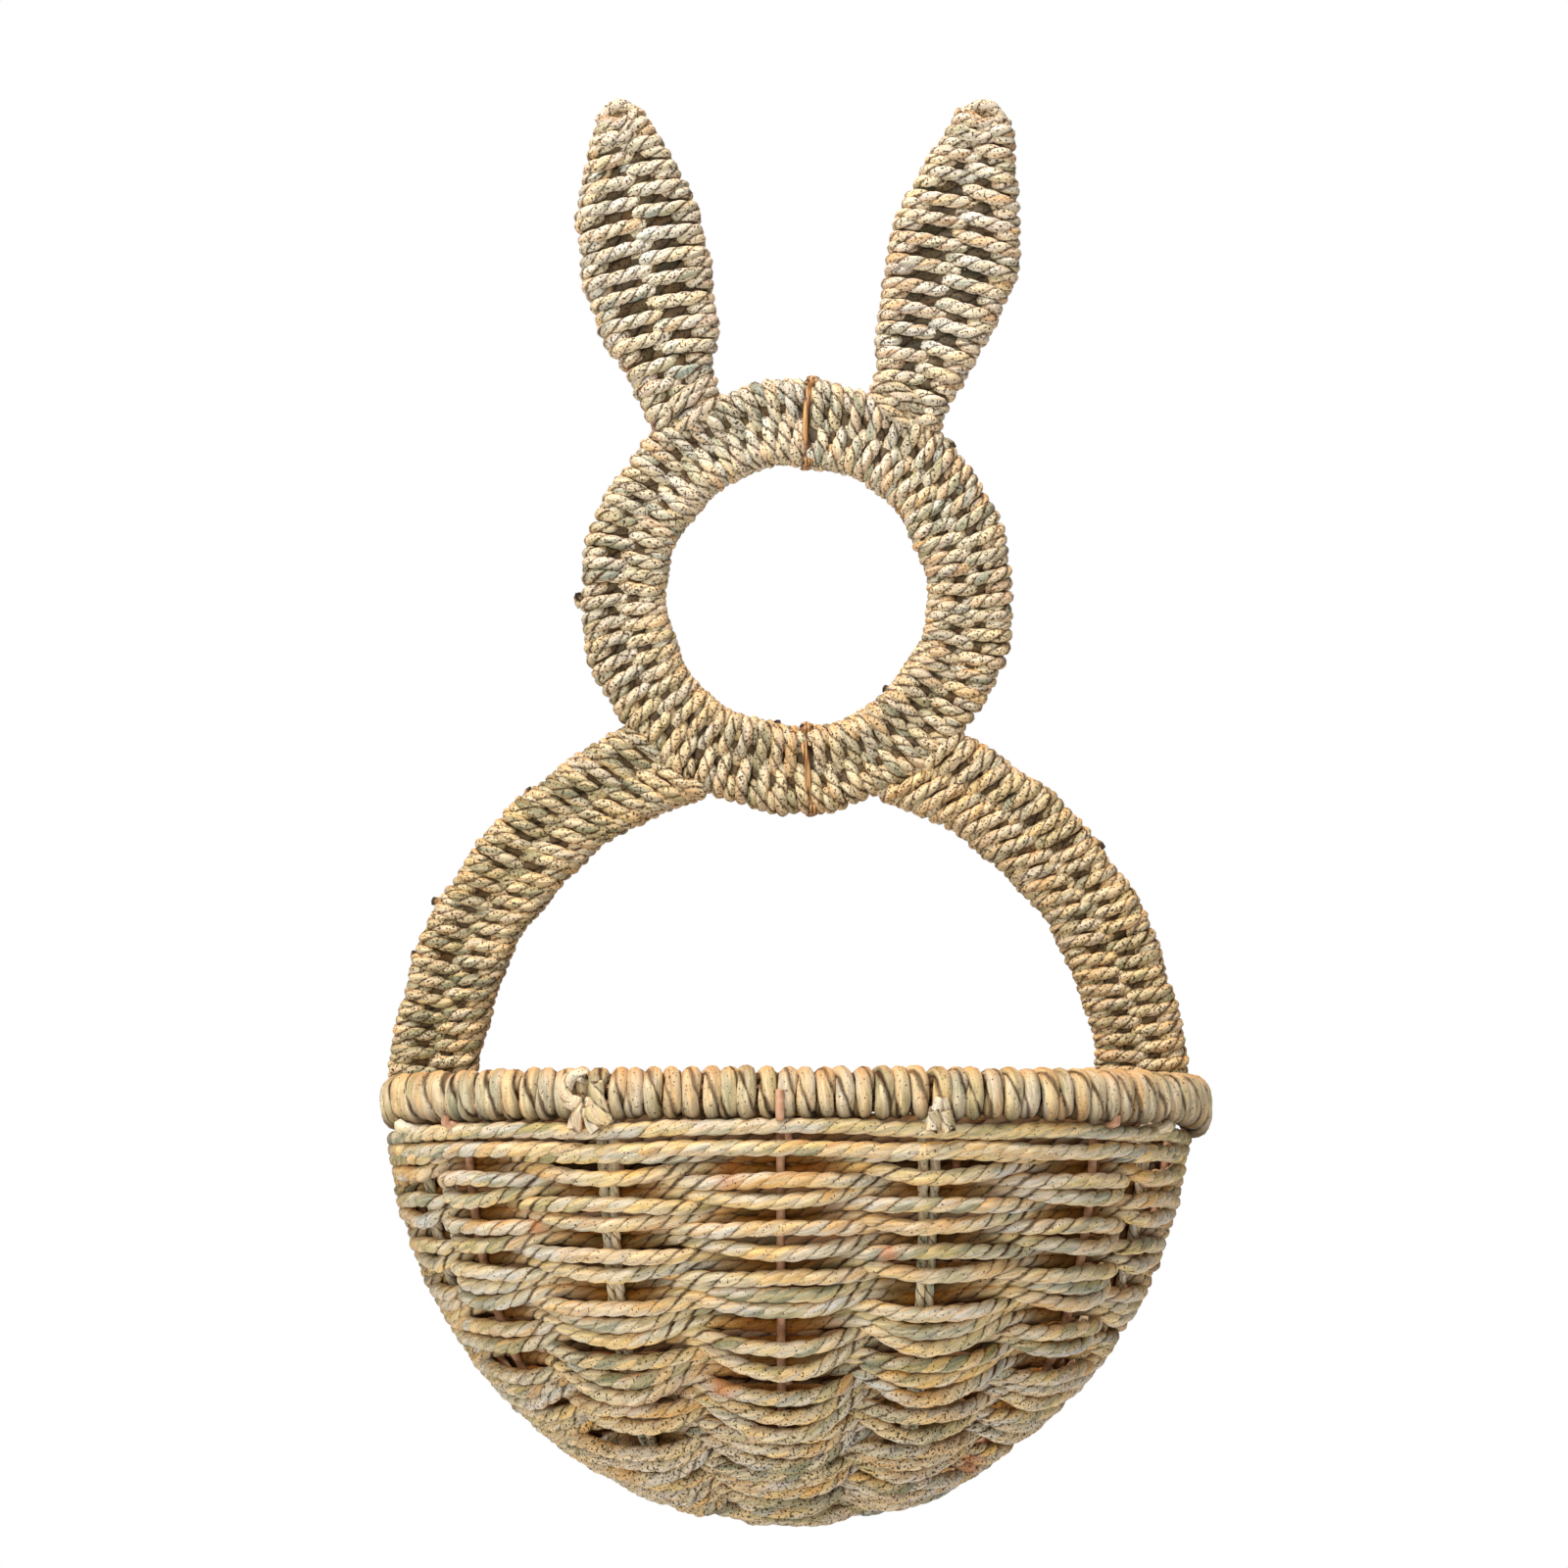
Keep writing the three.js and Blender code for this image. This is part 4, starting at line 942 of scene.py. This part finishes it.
class BASKET_OT_head(bpy.types.Operator):
    """Figure-of-eight rope round the head ring's two hoops, and the flat leaves between its halves"""
    bl_idname = "basket.head"
    bl_label = "Head ring"

    def execute(self, context):
        for side, start, end in [
                ("right", TIE_ANGLE + TIE_GAP, math.pi - TIE_ANGLE - TIE_GAP),
                ("left", math.pi - TIE_ANGLE + TIE_GAP, 2 * math.pi + TIE_ANGLE - TIE_GAP)]:
            edges = [arc(HEAD_CENTRE, radius, start, end)
                     for radius in (HEAD_OUTER_RADIUS, HEAD_INNER_RADIUS)]
            parts = [band_winding(*edges, (end - start) / HEAD_TURN, SIDE_SEEDS[side])]
            for i, (angle, away, way) in enumerate(HEAD_STUBS[side]):
                outward, along = radial(math.radians(angle))
                parts.append(stub(HEAD_CENTRE + outward * away * MM, outward * way + along * 1.5,
                                  SEEDS["head_stub"] + i))
            place_piece(f"head_rope_{side}", joined(*parts), f"head_wrap_{side}")
        for place, angle in [("top", TIE_ANGLE), ("bottom", math.pi - TIE_ANGLE)]:
            place_piece(f"head_leaf_{place}", self.leaf(angle), f"head_tie_{place}")
        return {"FINISHED"}

    def leaf(self, angle):
        """A flat leaf bound once round the band, as a thin closed loop with folds."""
        outward, sideways = radial(angle)
        turn = np.linspace(0, 2 * math.pi, 64, endpoint=False)[:, None]
        cosine, sine = np.cos(turn), np.sin(turn)
        across, through = np.array(LEAF_SECTION).T
        lift = LEAF_THICKNESS * (through - 0.5)
        fold = LEAF_FOLD * np.maximum(0, np.sin(7 * turn + angle * 4)) ** 0.5
        reach = np.abs(cosine) ** 0.5 * np.sign(cosine) * (HEAD_HALF_WIDTH + 0.4 * MM)
        depth = np.abs(sine) ** 0.6 * np.sign(sine) * (LOBE - 0.7 * MM - fold)
        wave = 0.8 * MM * np.sin(3 * turn + angle * 5) + 0.35 * MM * np.sin(11 * turn)
        spread = across * LEAF_WIDTH / 2 * (1 + 0.35 * np.sin(2 * turn + 1) * np.sin(5 * turn)) + wave
        points = (HEAD_CENTRE + outward * (HEAD_RADIUS + reach + cosine * lift)[..., None]
                  + TOWARDS_FRONT * (depth + sine * lift)[..., None] + sideways * spread[..., None])
        index = np.arange(points.size // 3).reshape(len(turn), -1)
        onwards, beside = np.roll(index, -1, 0), np.roll(index, -1, 1)
        faces = np.stack([index, onwards, np.roll(onwards, -1, 1), beside], -1)
        mesh = bpy.data.meshes.new("leaf")
        mesh.from_pydata(points.reshape(-1, 3).tolist(), [], faces.reshape(-1, 4).tolist())
        outward_faces(mesh)
        mesh.materials.append(finish_named("tie_strand"))
        return mesh


EAR_PITCH = 8.2 * MM
EAR_ROPE_SHARE = 1.08
EAR_DROOP = 26 * MM
ROOT_DIAMETER = 4.4 * MM
TIP_DIAMETER = 4.8 * MM
TIP_LAY = 10 * MM

# Strands over an ear's root: rise, distance behind the seat and curve in mm
ROOT_STRANDS = [(0, 6, 3), (4.2, 4, 1.5), (-2, 1, -1)]

# Strands over an ear's tip: half width, level of the ends, rise of the middle and depth in mm
TIP_STRANDS = [(7.2, -0.5, 4.9, 0.8), (6.0, -1.5, 3.5, -2.4), (6.6, 0.4, -3, 4), (7.8, -3.4, -4.2, 4.2)]


class BASKET_OT_ears(bpy.types.Operator):
    """Figure-of-eight rope on the two ear frames, with strands over their roots and tips"""
    bl_idname = "basket.ears"
    bl_label = "Ears"

    def execute(self, context):
        for side, seat, lean, length in EARS:
            base = HEAD_CENTRE + HEAD_OUTER_RADIUS * radial(math.radians(seat))[0]
            axis, across = radial(math.radians(lean))
            inner_side = across if side == "left" else -across
            shares = np.linspace(-0.03, 0.925, 90)
            bend = 1.6 * fade(shares, 0.3) - 0.9 * np.exp(-((shares - 0.5) / 0.2) ** 2)
            guide = base + shares[:, None] * axis * length + inner_side * bend[:, None] * MM
            widths = across * (np.interp(shares, *zip(*EAR_SHARES)) * EAR_HALF_WIDTH)[:, None]
            turns = (shares[-1] - shares[0]) * length / EAR_PITCH
            droop = -axis * (np.clip(shares - 0.78, 0, 1) * EAR_DROOP)[:, None]
            rope = band_winding(guide + widths, guide - widths, turns, SEEDS["ear"] + SIDE_SEEDS[side], droop,
                                EAR_ROPE_SHARE)
            roots = [self.root(base, axis, inner_side, *strand) for strand in ROOT_STRANDS]
            tips = [guide[-1] + self.tip(axis, across, *strand) for strand in TIP_STRANDS]
            roots = ropes_along(roots, [0.3, 0.8, 0.5], ROOT_DIAMETER, SEEDS["root"], {"warm": 0.3})
            tips = ropes_along(tips, [0.1, 0.5, 0.7, 0.9], TIP_DIAMETER, SEEDS["tip"], {"warm": 0.2},
                               Lay=TIP_LAY)
            place_piece(f"ear_rope_{side}", joined(rope, roots, tips), f"ear_wrap_{side}")
        return {"FINISHED"}

    def root(self, base, axis, inner_side, rise, behind, curve):
        bend = np.linspace(0, math.pi, 16)[:, None]
        start = base + (axis * (rise - 4) - inner_side * behind) * MM
        end = base + (axis * (rise + 4) + inner_side * 15) * MM
        line = start + (end - start) * (1 - np.cos(bend)) / 2 + axis * curve * MM * np.sin(bend)
        return line + TOWARDS_FRONT * (LOBE - 1.2 * MM) * np.sin(bend) ** 0.6

    def tip(self, axis, across, half_width, level, rise, depth):
        share = np.linspace(-1, 1, 25)[:, None]
        arched = np.cos(share * math.pi / 2)
        return (across * share * half_width + axis * (level + arched * rise)
                + TOWARDS_FRONT * depth * arched ** 0.5) * MM


ARCH_PITCH = 6.3 * MM
ARCH_FOOT_LEVEL = RIM_END_LEVEL + RIM_HALF_HEIGHT + 1 * MM

# Cut ends on the arch, as shares of its length from the head
ARCH_STUBS = {"left": [0.26, 0.6, 0.72], "right": [0.42]}


class BASKET_OT_arch(bpy.types.Operator):
    """Figure-of-eight rope on the arch between the head and the rim"""
    bl_idname = "basket.arch"
    bl_label = "Arch"

    def execute(self, context):
        for side, sign in [("left", -1), ("right", 1)]:
            edges = []
            for radius in (BODY_OUTER_RADIUS, ARCH_INNER_RADIUS):
                top = neck_angle(radius, HEAD_OUTER_RADIUS - 1 * MM, sign)
                foot = sign * (math.pi / 2 - math.asin(ARCH_FOOT_LEVEL / radius))
                edges.append(arc(BODY_CENTRE, radius, top, foot))
            turns = length_of((edges[0] + edges[1]) / 2)[-1] / ARCH_PITCH
            parts = [band_winding(*edges, turns, SEEDS["arch"] + SIDE_SEEDS[side])]
            for i, place in enumerate(ARCH_STUBS[side]):
                at = edges[0][round(place * (len(edges[0]) - 1))]
                away = unit(at - BODY_CENTRE)
                parts.append(stub(at, away + np.cross(away, TOWARDS_FRONT) * (-1) ** i,
                                  SEEDS["arch_stub"] + i))
            place_piece(f"arch_rope_{side}", joined(*parts), f"arch_wrap_{side}")
        return {"FINISHED"}


RIM_PITCH = 6.4 * MM
RIM_ENDS_DROP = (0.8 * MM, 2.8 * MM)
# The rim's top is painted golden light and its underside painted shade, as if lit from above
RIM_SHAPE = {"Crossings": 1, "Roundness": 0.7, "Lean": 0.22, "Outer Edge Light": 0.35, "Inner Edge Light": 0,
             "Inner Shade": 0.75, "Lay": 31 * MM, "Unevenness": 0.24}
CORE_DIAMETER = 4.6 * MM
RIM_CORE_LEVELS = (-CORE_DIAMETER, 0, CORE_DIAMETER)


class BASKET_OT_rim(bpy.types.Operator):
    """Thick rope wound round the two rim wires, over a core of thinner rope"""
    bl_idname = "basket.rim"
    bl_label = "Rim"

    def execute(self, context):
        diameter = context.scene.basket_ropes.rim_diameter
        u = np.linspace(0, 1, 160)
        across, front = plan_shares(u)
        drop = RIM_ENDS_DROP[0] * fade(u, 0.06) ** 2 + RIM_ENDS_DROP[1] * fade(1 - u, 0.08) ** 2
        level = RIM_END_LEVEL + RIM_RISE * front + 0.8 * MM - drop
        guide = BODY_CENTRE + np.stack([RIM_HALF_WIDTH * across + 2.8 * MM, -RIM_DEPTH * front, level], 1)
        behind = np.array([0, LOBE - diameter / 2 - 0.5 * MM, 0])
        guide = np.concatenate([[guide[0] + behind], guide, [guide[-1] + behind]])
        outward = unit(np.cross(np.gradient(guide, axis=0) * np.array([1, 1, 0]), UPWARDS))
        reach = UPWARDS * (RIM_HALF_HEIGHT - diameter / 2 + np.pad(drop, 1, "edge") * 0.35)[:, None]
        # The rope is also painted a little shade all over
        rope = winding(guide, reach, outward, length_of(guide)[-1] / RIM_PITCH, SEEDS["rim"], diameter,
                       {**RIM_SHAPE, "Depth": LOBE - diameter / 2}, {"shade": 0.15})
        rope.attributes.new("clean", "FLOAT", "POINT").data.foreach_set("value", np.ones(len(rope.vertices)))
        # The core shows only in the gaps between the turns, so it is painted nearly full shade
        core = ropes_along([guide[2:-2] + UPWARDS * rise for rise in RIM_CORE_LEVELS], [0.2, 0.5, 0.8],
                           CORE_DIAMETER, SEEDS["core"], {"warm": 0.3, "shade": 0.95})
        place_piece("rim_rope", joined(rope, core), "rim_wrap")
        return {"FINISHED"}


RAIL_PITCH = 4.2 * MM


class BASKET_OT_rail(bpy.types.Operator):
    """Rope wound round the rail behind the mouth"""
    bl_idname = "basket.rail"
    bl_label = "Back rail"

    def execute(self, context):
        diameter = context.scene.basket_ropes.wrap_diameter
        low, high = corners("back_rail_wrap")
        level = middle("back_rail_wire")[2]
        left, right = low[0] + diameter, high[0] - diameter
        guide = np.linspace([left, HOOP_PLANE, level], [right, HOOP_PLANE, level], 60)
        half = LOBE - diameter / 2
        rope = winding(guide, UPWARDS * half, TOWARDS_FRONT, (right - left) / RAIL_PITCH,
                       SEEDS["rail"], diameter, {"Crossings": 1, "Depth": half}, {"warm": 0.45})
        place_piece("rail_rope", rope, "back_rail_wrap")
        return {"FINISHED"}


# Loose ends knotted over the rim, as steps across and up from the middle of a stake's top in mm
KNOTS = {
    2: [[(-2.5, 6), (-5.5, 7), (-8.4, 5), (-9.6, 1), (-8.4, -2.6), (-5.8, -3.4), (-4.2, -1)],
        [(-2.5, -4), (-5.5, -7.5), (-6.4, -12)], [(-1, -4), (-0.8, -8), (0.8, -12.5)],
        [(1, 4), (2, -3), (4.5, -9)]],
    4: [[(-2.5, -5), (-2.2, -9), (-3.2, -12)], [(1.5, -5), (1.6, -9), (2.8, -12)]],
}


def smoothed(values):
    for _ in range(6):
        values = np.concatenate([values[:1], (values[:-2] + values[1:-1] + values[2:]) / 3, values[-1:]])
    return values


def rim_face_line(centre, places):
    """A smooth line over the rim's face through places given as steps across and up in mm."""
    fine = np.linspace(0, len(places) - 1, 8 * len(places))
    across, rise = [smoothed(np.interp(fine, np.arange(len(places)), steps))
                    for steps in np.array(places, float).T * MM]
    rim_level = BODY_CENTRE[2] + RIM_END_LEVEL + RIM_RISE
    x, z = centre + across, rim_level + rise
    share = np.clip(1 - np.abs((x - BODY_CENTRE[0]) / RIM_HALF_WIDTH) ** PLAN_POWER, 0, 1)
    below = np.clip((rim_level - 5 * MM - z) / (5 * MM), 0, 1)
    out = RIM_DEPTH * share ** (1 / PLAN_POWER) + LOBE + (0.8 - 2 * below) * MM
    return np.stack([x, HOOP_PLANE - out, z], 1)


# A pair of strands: half the gap between their middles, and their swelling, at points down them
STRAND_DIAMETER = 3.5 * MM
KNOT_DIAMETER = 5.2 * MM
PAIR_GAPS = ([0, 7, 14], [0.6 * MM, 2.8 * MM, 1.75 * MM])
PAIR_SWELL = ([0, 9, 14], [1.5, 1.4, 1])


class BASKET_OT_stakes(bpy.types.Operator):
    """Pairs of grey-green grass strands that stand between the wires of the pocket"""
    bl_idname = "basket.stakes"
    bl_label = "Rope stakes"

    def execute(self, context):
        for i, stake in enumerate(FRONT_STAKES):
            if stake[0] == "wire":
                continue
            points = stake_points(stake)
            along = unit(np.gradient(points, axis=0))
            outward = unit((points - BODY_CENTRE) * np.array([1, 1, 0.6]))
            gap, swell = [np.interp(np.arange(len(points)), *steps) for steps in (PAIR_GAPS, PAIR_SWELL)]
            aside = unit(np.cross(along, outward)) * gap[:, None]
            mesh = ropes_along([points + aside, points - aside], [0.1 * i, 0.1 * i + 0.4], STRAND_DIAMETER,
                               SEEDS["stake"] + i, {"swell": swell}, "rope_stake", Slack=0.2 * MM)
            if i in KNOTS:
                ends = [rim_face_line(points[0][0], places) for places in KNOTS[i]]
                mesh = joined(mesh, ropes_along(ends, 0.2, KNOT_DIAMETER, SEEDS["knot"] + i, {"warm": 0.15},
                                                "rope_stake", Slack=0.1 * MM))
            place_piece(f"rope_stake_{i + 1}", mesh, f"front_stake_{i + 1}")
        return {"FINISHED"}


HOOK_POINTS = 9
STRAY = 0.8 * MM
TOP_ROW_STRAY = 1.4 * MM


class BASKET_OT_front_rows(bpy.types.Operator):
    """Woven rows of the pocket's front, each of two or three ropes that turn round the hoop"""
    bl_idname = "basket.front_rows"
    bl_label = "Front rows"

    def execute(self, context):
        settings = context.scene.basket_ropes
        diameter = settings.weave_diameter
        heights = [PAIR_HEIGHT if ropes == 2 else TRIPLE_HEIGHT for ropes in ROPES_IN_ROW]
        steps = np.array(heights) / sum(heights)
        chance, rough = [np.random.default_rng(settings.seed + i) for i in (0, 1)]
        for row, (ropes, step) in enumerate(zip(ROPES_IN_ROW, steps)):
            v = sum(steps[:row]) + step / 2
            lines, marks = self.row(row, ropes, v, step, diameter, chance, rough)
            strands = [0.37 * row + 0.23 * k for k in range(ropes)]
            lay = diameter * settings.lay_share * (1 - 0.33 * v)
            mesh = ropes_along(lines, strands, diameter, SEEDS["front_row"] + row, marks, "rope_weave",
                               Lay=lay)
            place_piece(f"row_rope_{row + 1:02d}", mesh, f"front_row_{row + 1:02d}")
        return {"FINISHED"}

    def row(self, row, ropes, v, step, diameter, chance, rough):
        """The lines of a row's ropes and what they are marked with. The row hangs a little
        between the stakes, most in the middle of the pocket, and its ropes spread there."""
        offset = WIRE_RADIUS + diameter / 2
        u = np.linspace(0, 1, 160)
        front = plan_shares(u)[1]
        knots = row_knots(row, v, step)
        out, swing = [eased(knots, u, hold) for hold in (HOLD_SHARE, 0)]
        slack = [(at, LOOSE_PLACES.get((row, i - 1), chance.uniform(0.5, 1.3)))
                 for i, (at, _) in enumerate(knots)]
        slack = eased(slack, u, SLACK_HOLD_SHARE)
        most = 1.25 if row == 0 or 0.35 < v < 0.6 else 1.55
        fullness = eased([(at, chance.uniform(1.05, most)) for at, _ in knots], u, SLACK_HOLD_SHARE)
        if ropes == 3:
            fullness = 0.95
        point, outward, up, reach = weave_frame(u, v)
        sag = np.interp(v, *ROW_HANG) * MM * slack * np.clip(swing, 0, 1) * front
        sag += 2.4 * MM * (1 - v) ** 1.5 * slack * np.clip(-swing, 0, 1) ** 2 * front
        tight = reach * step / ropes
        loose = diameter * np.where(swing > 0, fullness, 0.65 + 0.45 * min(1, 1.6 * v))
        freedom = np.abs(swing) ** 1.3 * np.clip(front / 0.4, 0, 1) ** 2
        spread = tight + np.maximum(loose - tight, 0) * freedom
        lines = []
        for k in range(ropes):
            bumps = rough.uniform(-0.4, 1.2, 2) * MM
            bump = bumps[0] * fade(u, 0.08) + bumps[1] * fade(1 - u, 0.08)
            depth = out * (offset + bump) + (1 - np.abs(swing)) * 0.9 * MM * (-1) ** k
            stray = [(at, chance.uniform(-1, 1) * (TOP_ROW_STRAY if row == 0 else STRAY))
                     for at in np.linspace(0, 1, 12)]
            drop = sag * (0.75 + 0.25 * (k + 1)) + eased(stray, u, 0) * front
            line = (point + outward * depth[:, None] - up * ((k - (ropes - 1) / 2) * spread)[:, None]
                    - UPWARDS * drop[:, None])
            lines.append(np.concatenate([self.hook(line[0], outward[0], offset + bumps[0]), line,
                                         self.hook(line[-1], outward[-1], offset + bumps[1])[::-1]]))

        def with_hooks(values, value):
            return np.pad(values, HOOK_POINTS, constant_values=value)

        # Painted light and shade: rope behind a stake gets painted golden light and shade, the pocket is
        # painted darker towards the bottom, ropes near the hoop get random painted shade like dark holes and
        # some painted golden light, and the hooks round the hoop are painted in half shade
        hidden = np.clip((-swing - 0.2) / 0.8, 0, 1)
        side = fade(front, 0.35)
        painted_shade = 0.13 + 0.27 * v * v + 0.5 * hidden
        return lines, {"warm": with_hooks(np.maximum(0.95 * hidden, 0.4 * fade(front, 0.3)), 0.4),
                       "swell": with_hooks(0.9 + 0.16 * np.abs(swing), 1),
                       "shade": [with_hooks(painted_shade + rough.uniform(0, 0.7) * side, 0.5) for _ in range(ropes)],
                       "clean": with_hooks(-1.2 * side, -1)}

    def hook(self, end, outward, offset):
        """A rope's turn round the back of the hoop, from inside the pocket to the row's end."""
        angles = np.linspace(math.pi, 0, HOOK_POINTS + 1)[:-1, None]
        turn = np.cos(angles) * outward - np.sin(angles) * TOWARDS_FRONT
        return end - outward * offset + turn * offset


BACK_ROPE_SHARE = 1.18
BACK_ROPES_IN_ROW = 3
TOP_BACK_ROPE_RISE = 1.2 * MM


class BASKET_OT_back_rows(bpy.types.Operator):
    """Woven rows of the pocket's flat back, each of three ropes that run on to the hoop"""
    bl_idname = "basket.back_rows"
    bl_label = "Back rows"

    def execute(self, context):
        diameter = context.scene.basket_ropes.weave_diameter * BACK_ROPE_SHARE
        offset = LOBE - diameter / 2 - 0.2 * MM
        for row in range(BACK_ROW_COUNT):
            low, high = corners(f"back_row_{row + 1}")
            stakes = [(share * HOOP_RADIUS + BODY_CENTRE[0], 1 if (row + i) % 2 == 0 else -1)
                      for i, share in enumerate(BACK_STAKE_SHARES)]
            inside = [(x, way) for x, way in stakes if low[0] < x < high[0]]
            x = np.linspace(low[0], high[0], 60)
            out = eased([(low[0], 0), *inside, (high[0], 0)], x, HOLD_SHARE)
            pitch = (high[2] - low[2] + ROW_GAP) / BACK_ROPES_IN_ROW
            lines = []
            for k in range(BACK_ROPES_IN_ROW):
                height = (low[2] + high[2]) / 2 + (k - (BACK_ROPES_IN_ROW - 1) / 2) * pitch
                if row == 0 and k == BACK_ROPES_IN_ROW - 1:
                    height += TOP_BACK_ROPE_RISE
                side = width_at(height - BODY_CENTRE[2]) - 2 * WIRE_RADIUS
                run = x
                if side > x[-1] - BODY_CENTRE[0] + MM:
                    left, right = [np.linspace(BODY_CENTRE[0] + way * side, end, 12)[:-1]
                                   for way, end in ((-1, x[0]), (1, x[-1]))]
                    run = np.concatenate([left, x, right[::-1]])
                swing = np.interp(run, x, out)
                lines.append(np.stack([run, HOOP_PLANE - swing * offset, np.full_like(run, height)], 1))
            strands = [0.29 * row + 0.41 * k for k in range(BACK_ROPES_IN_ROW)]
            # The back weave is seen through the gaps, so it is painted in shade with some painted golden
            # light
            mesh = ropes_along(lines, strands, diameter, SEEDS["back_row"] + row,
                               {"warm": 0.45, "shade": 0.9}, "rope_weave")
            place_piece(f"back_rope_{row + 1}", mesh, f"back_row_{row + 1}")
        return {"FINISHED"}


FLOOR_RADIUS = 1.2
FLOOR_LEVEL = -0.5
WHITE_FROM = 0.16
WHITE_TO = 0.42
ROOM_STRENGTH = 0.24
ROOM_TONE = (1.0, 0.97, 0.86, 1)
WHITE = (1, 1, 1, 1)

# Lamps: place and size in metres, power in watts, colour
LAMPS = {"key_light": ((-0.5, -0.85, 1.9), 1.0, 72, (1.0, 0.965, 0.925)),
         "fill_light": ((-0.9, -1.8, 0.3), 1.4, 17.5, (1.0, 0.955, 0.77)),
         "wall_side_light": ((0.7, 1.9, 0.9), 1.4, 20, (1.0, 0.975, 0.93))}
LIT_PLACE = Vector((0, -0.05, -0.15))

# The photograph's frame is 1600 pixels wide, and shows 0.35 mm a pixel at the wall
FRAME_WIDTH = 1600 * 0.35 * MM
CAMERA_PLACE = Vector((-4.5 * MM, -2.0, -112.35 * MM))


class BASKET_OT_stage(bpy.types.Operator):
    """Pale floor, soft light and the camera"""
    bl_idname = "basket.stage"
    bl_label = "Stage"

    def execute(self, context):
        scene = context.scene
        scene.view_settings.view_transform = "Standard"
        self.floor(scene)
        self.world(scene)
        for name, (place, size, power, colour) in LAMPS.items():
            data = bpy.data.lights.new(name, "AREA")
            data.size = size
            data.energy = power
            data.color = colour
            lamp = bpy.data.objects.new(name, data)
            lamp.location = place
            lamp.rotation_euler = (LIT_PLACE - lamp.location).to_track_quat("-Z", "Y").to_euler()
            scene.collection.objects.link(lamp)
        self.camera(scene)
        return {"FINISHED"}

    def floor(self, scene):
        # Matt paper, which the camera sees as plain white away from the object's shadow
        material, add = new_material("pale_floor")
        flat = add("VectorMath.MULTIPLY", add("TexCoord", out="Object"), (1, 1, 0))
        away = add("MapRange", add("VectorMath.LENGTH", flat), WHITE_FROM, WHITE_TO,
                   interpolation_type="SMOOTHSTEP")
        share = add("Math.MULTIPLY", away, add("LightPath", out="Is Camera Ray"))
        matt = add("BsdfDiffuse", (*scene.basket_colours.backdrop, 1))
        add("OutputMaterial", add("MixShader", share, matt, add("Emission", WHITE, 1.0)))
        mesh = bpy.data.meshes.new("floor")
        angles = np.linspace(0, 2 * math.pi, 96, endpoint=False)
        edge = np.stack([FLOOR_RADIUS * np.cos(angles), FLOOR_RADIUS * np.sin(angles),
                         np.full_like(angles, FLOOR_LEVEL)], 1)
        mesh.from_pydata(edge.tolist(), [], [list(range(len(edge)))])
        mesh.materials.append(material)
        floor = bpy.data.objects.new("floor", mesh)
        scene.collection.objects.link(floor)

    def world(self, scene):
        world = bpy.data.worlds.new("soft_room")
        world.use_nodes = True
        world.node_tree.nodes.clear()
        add = adder(world.node_tree)
        path = add("LightPath").node.outputs
        mirrored = add("Math.MAXIMUM", path["Is Glossy Ray"], path["Is Transmission Ray"])
        seen = add("Math.MAXIMUM", path["Is Camera Ray"], mirrored)
        strength = add("MapRange", seen, 0.0, 1.0, ROOM_STRENGTH, 1.0)
        add("OutputWorld", add("Background", add("Mix.RGBA", seen, ROOM_TONE, WHITE), strength))
        scene.world = world

    def camera(self, scene):
        data = bpy.data.cameras.new("camera")
        data.sensor_width = 36
        data.lens = data.sensor_width * -CAMERA_PLACE.y / FRAME_WIDTH
        camera = bpy.data.objects.new("camera", data)
        camera.location = CAMERA_PLACE
        camera.rotation_euler = (math.pi / 2, 0, 0)
        scene.collection.objects.link(camera)
        scene.camera = camera


class BASKET_PT_panel(bpy.types.Panel):
    """Buttons for each piece of the basket, and its sizes and colours"""
    bl_idname = "BASKET_PT_panel"
    bl_label = "Seagrass wall basket"
    bl_space_type = "VIEW_3D"
    bl_region_type = "UI"
    bl_category = "Basket"

    def draw(self, context):
        for group in (context.scene.basket_ropes, context.scene.basket_colours):
            for name in group.__annotations__:
                self.layout.prop(group, name)
        for step in STEPS:
            self.layout.operator(step.bl_idname)


STEPS = [BASKET_OT_wires, BASKET_OT_head, BASKET_OT_ears, BASKET_OT_arch, BASKET_OT_rim, BASKET_OT_rail,
         BASKET_OT_stakes, BASKET_OT_front_rows, BASKET_OT_back_rows, BASKET_OT_stage]
CLASSES = [BasketRopes, BasketColours, *STEPS, BASKET_PT_panel]


def register():
    for each in CLASSES:
        bpy.utils.register_class(each)
    bpy.types.Scene.basket_ropes = PointerProperty(type=BasketRopes)
    bpy.types.Scene.basket_colours = PointerProperty(type=BasketColours)


def unregister():
    del bpy.types.Scene.basket_colours
    del bpy.types.Scene.basket_ropes
    for each in reversed(CLASSES):
        bpy.utils.unregister_class(each)


def main():
    register()
    for step in STEPS:
        getattr(bpy.ops.basket, step.bl_idname.split(".")[1])()


if __name__ == "__main__":
    main()
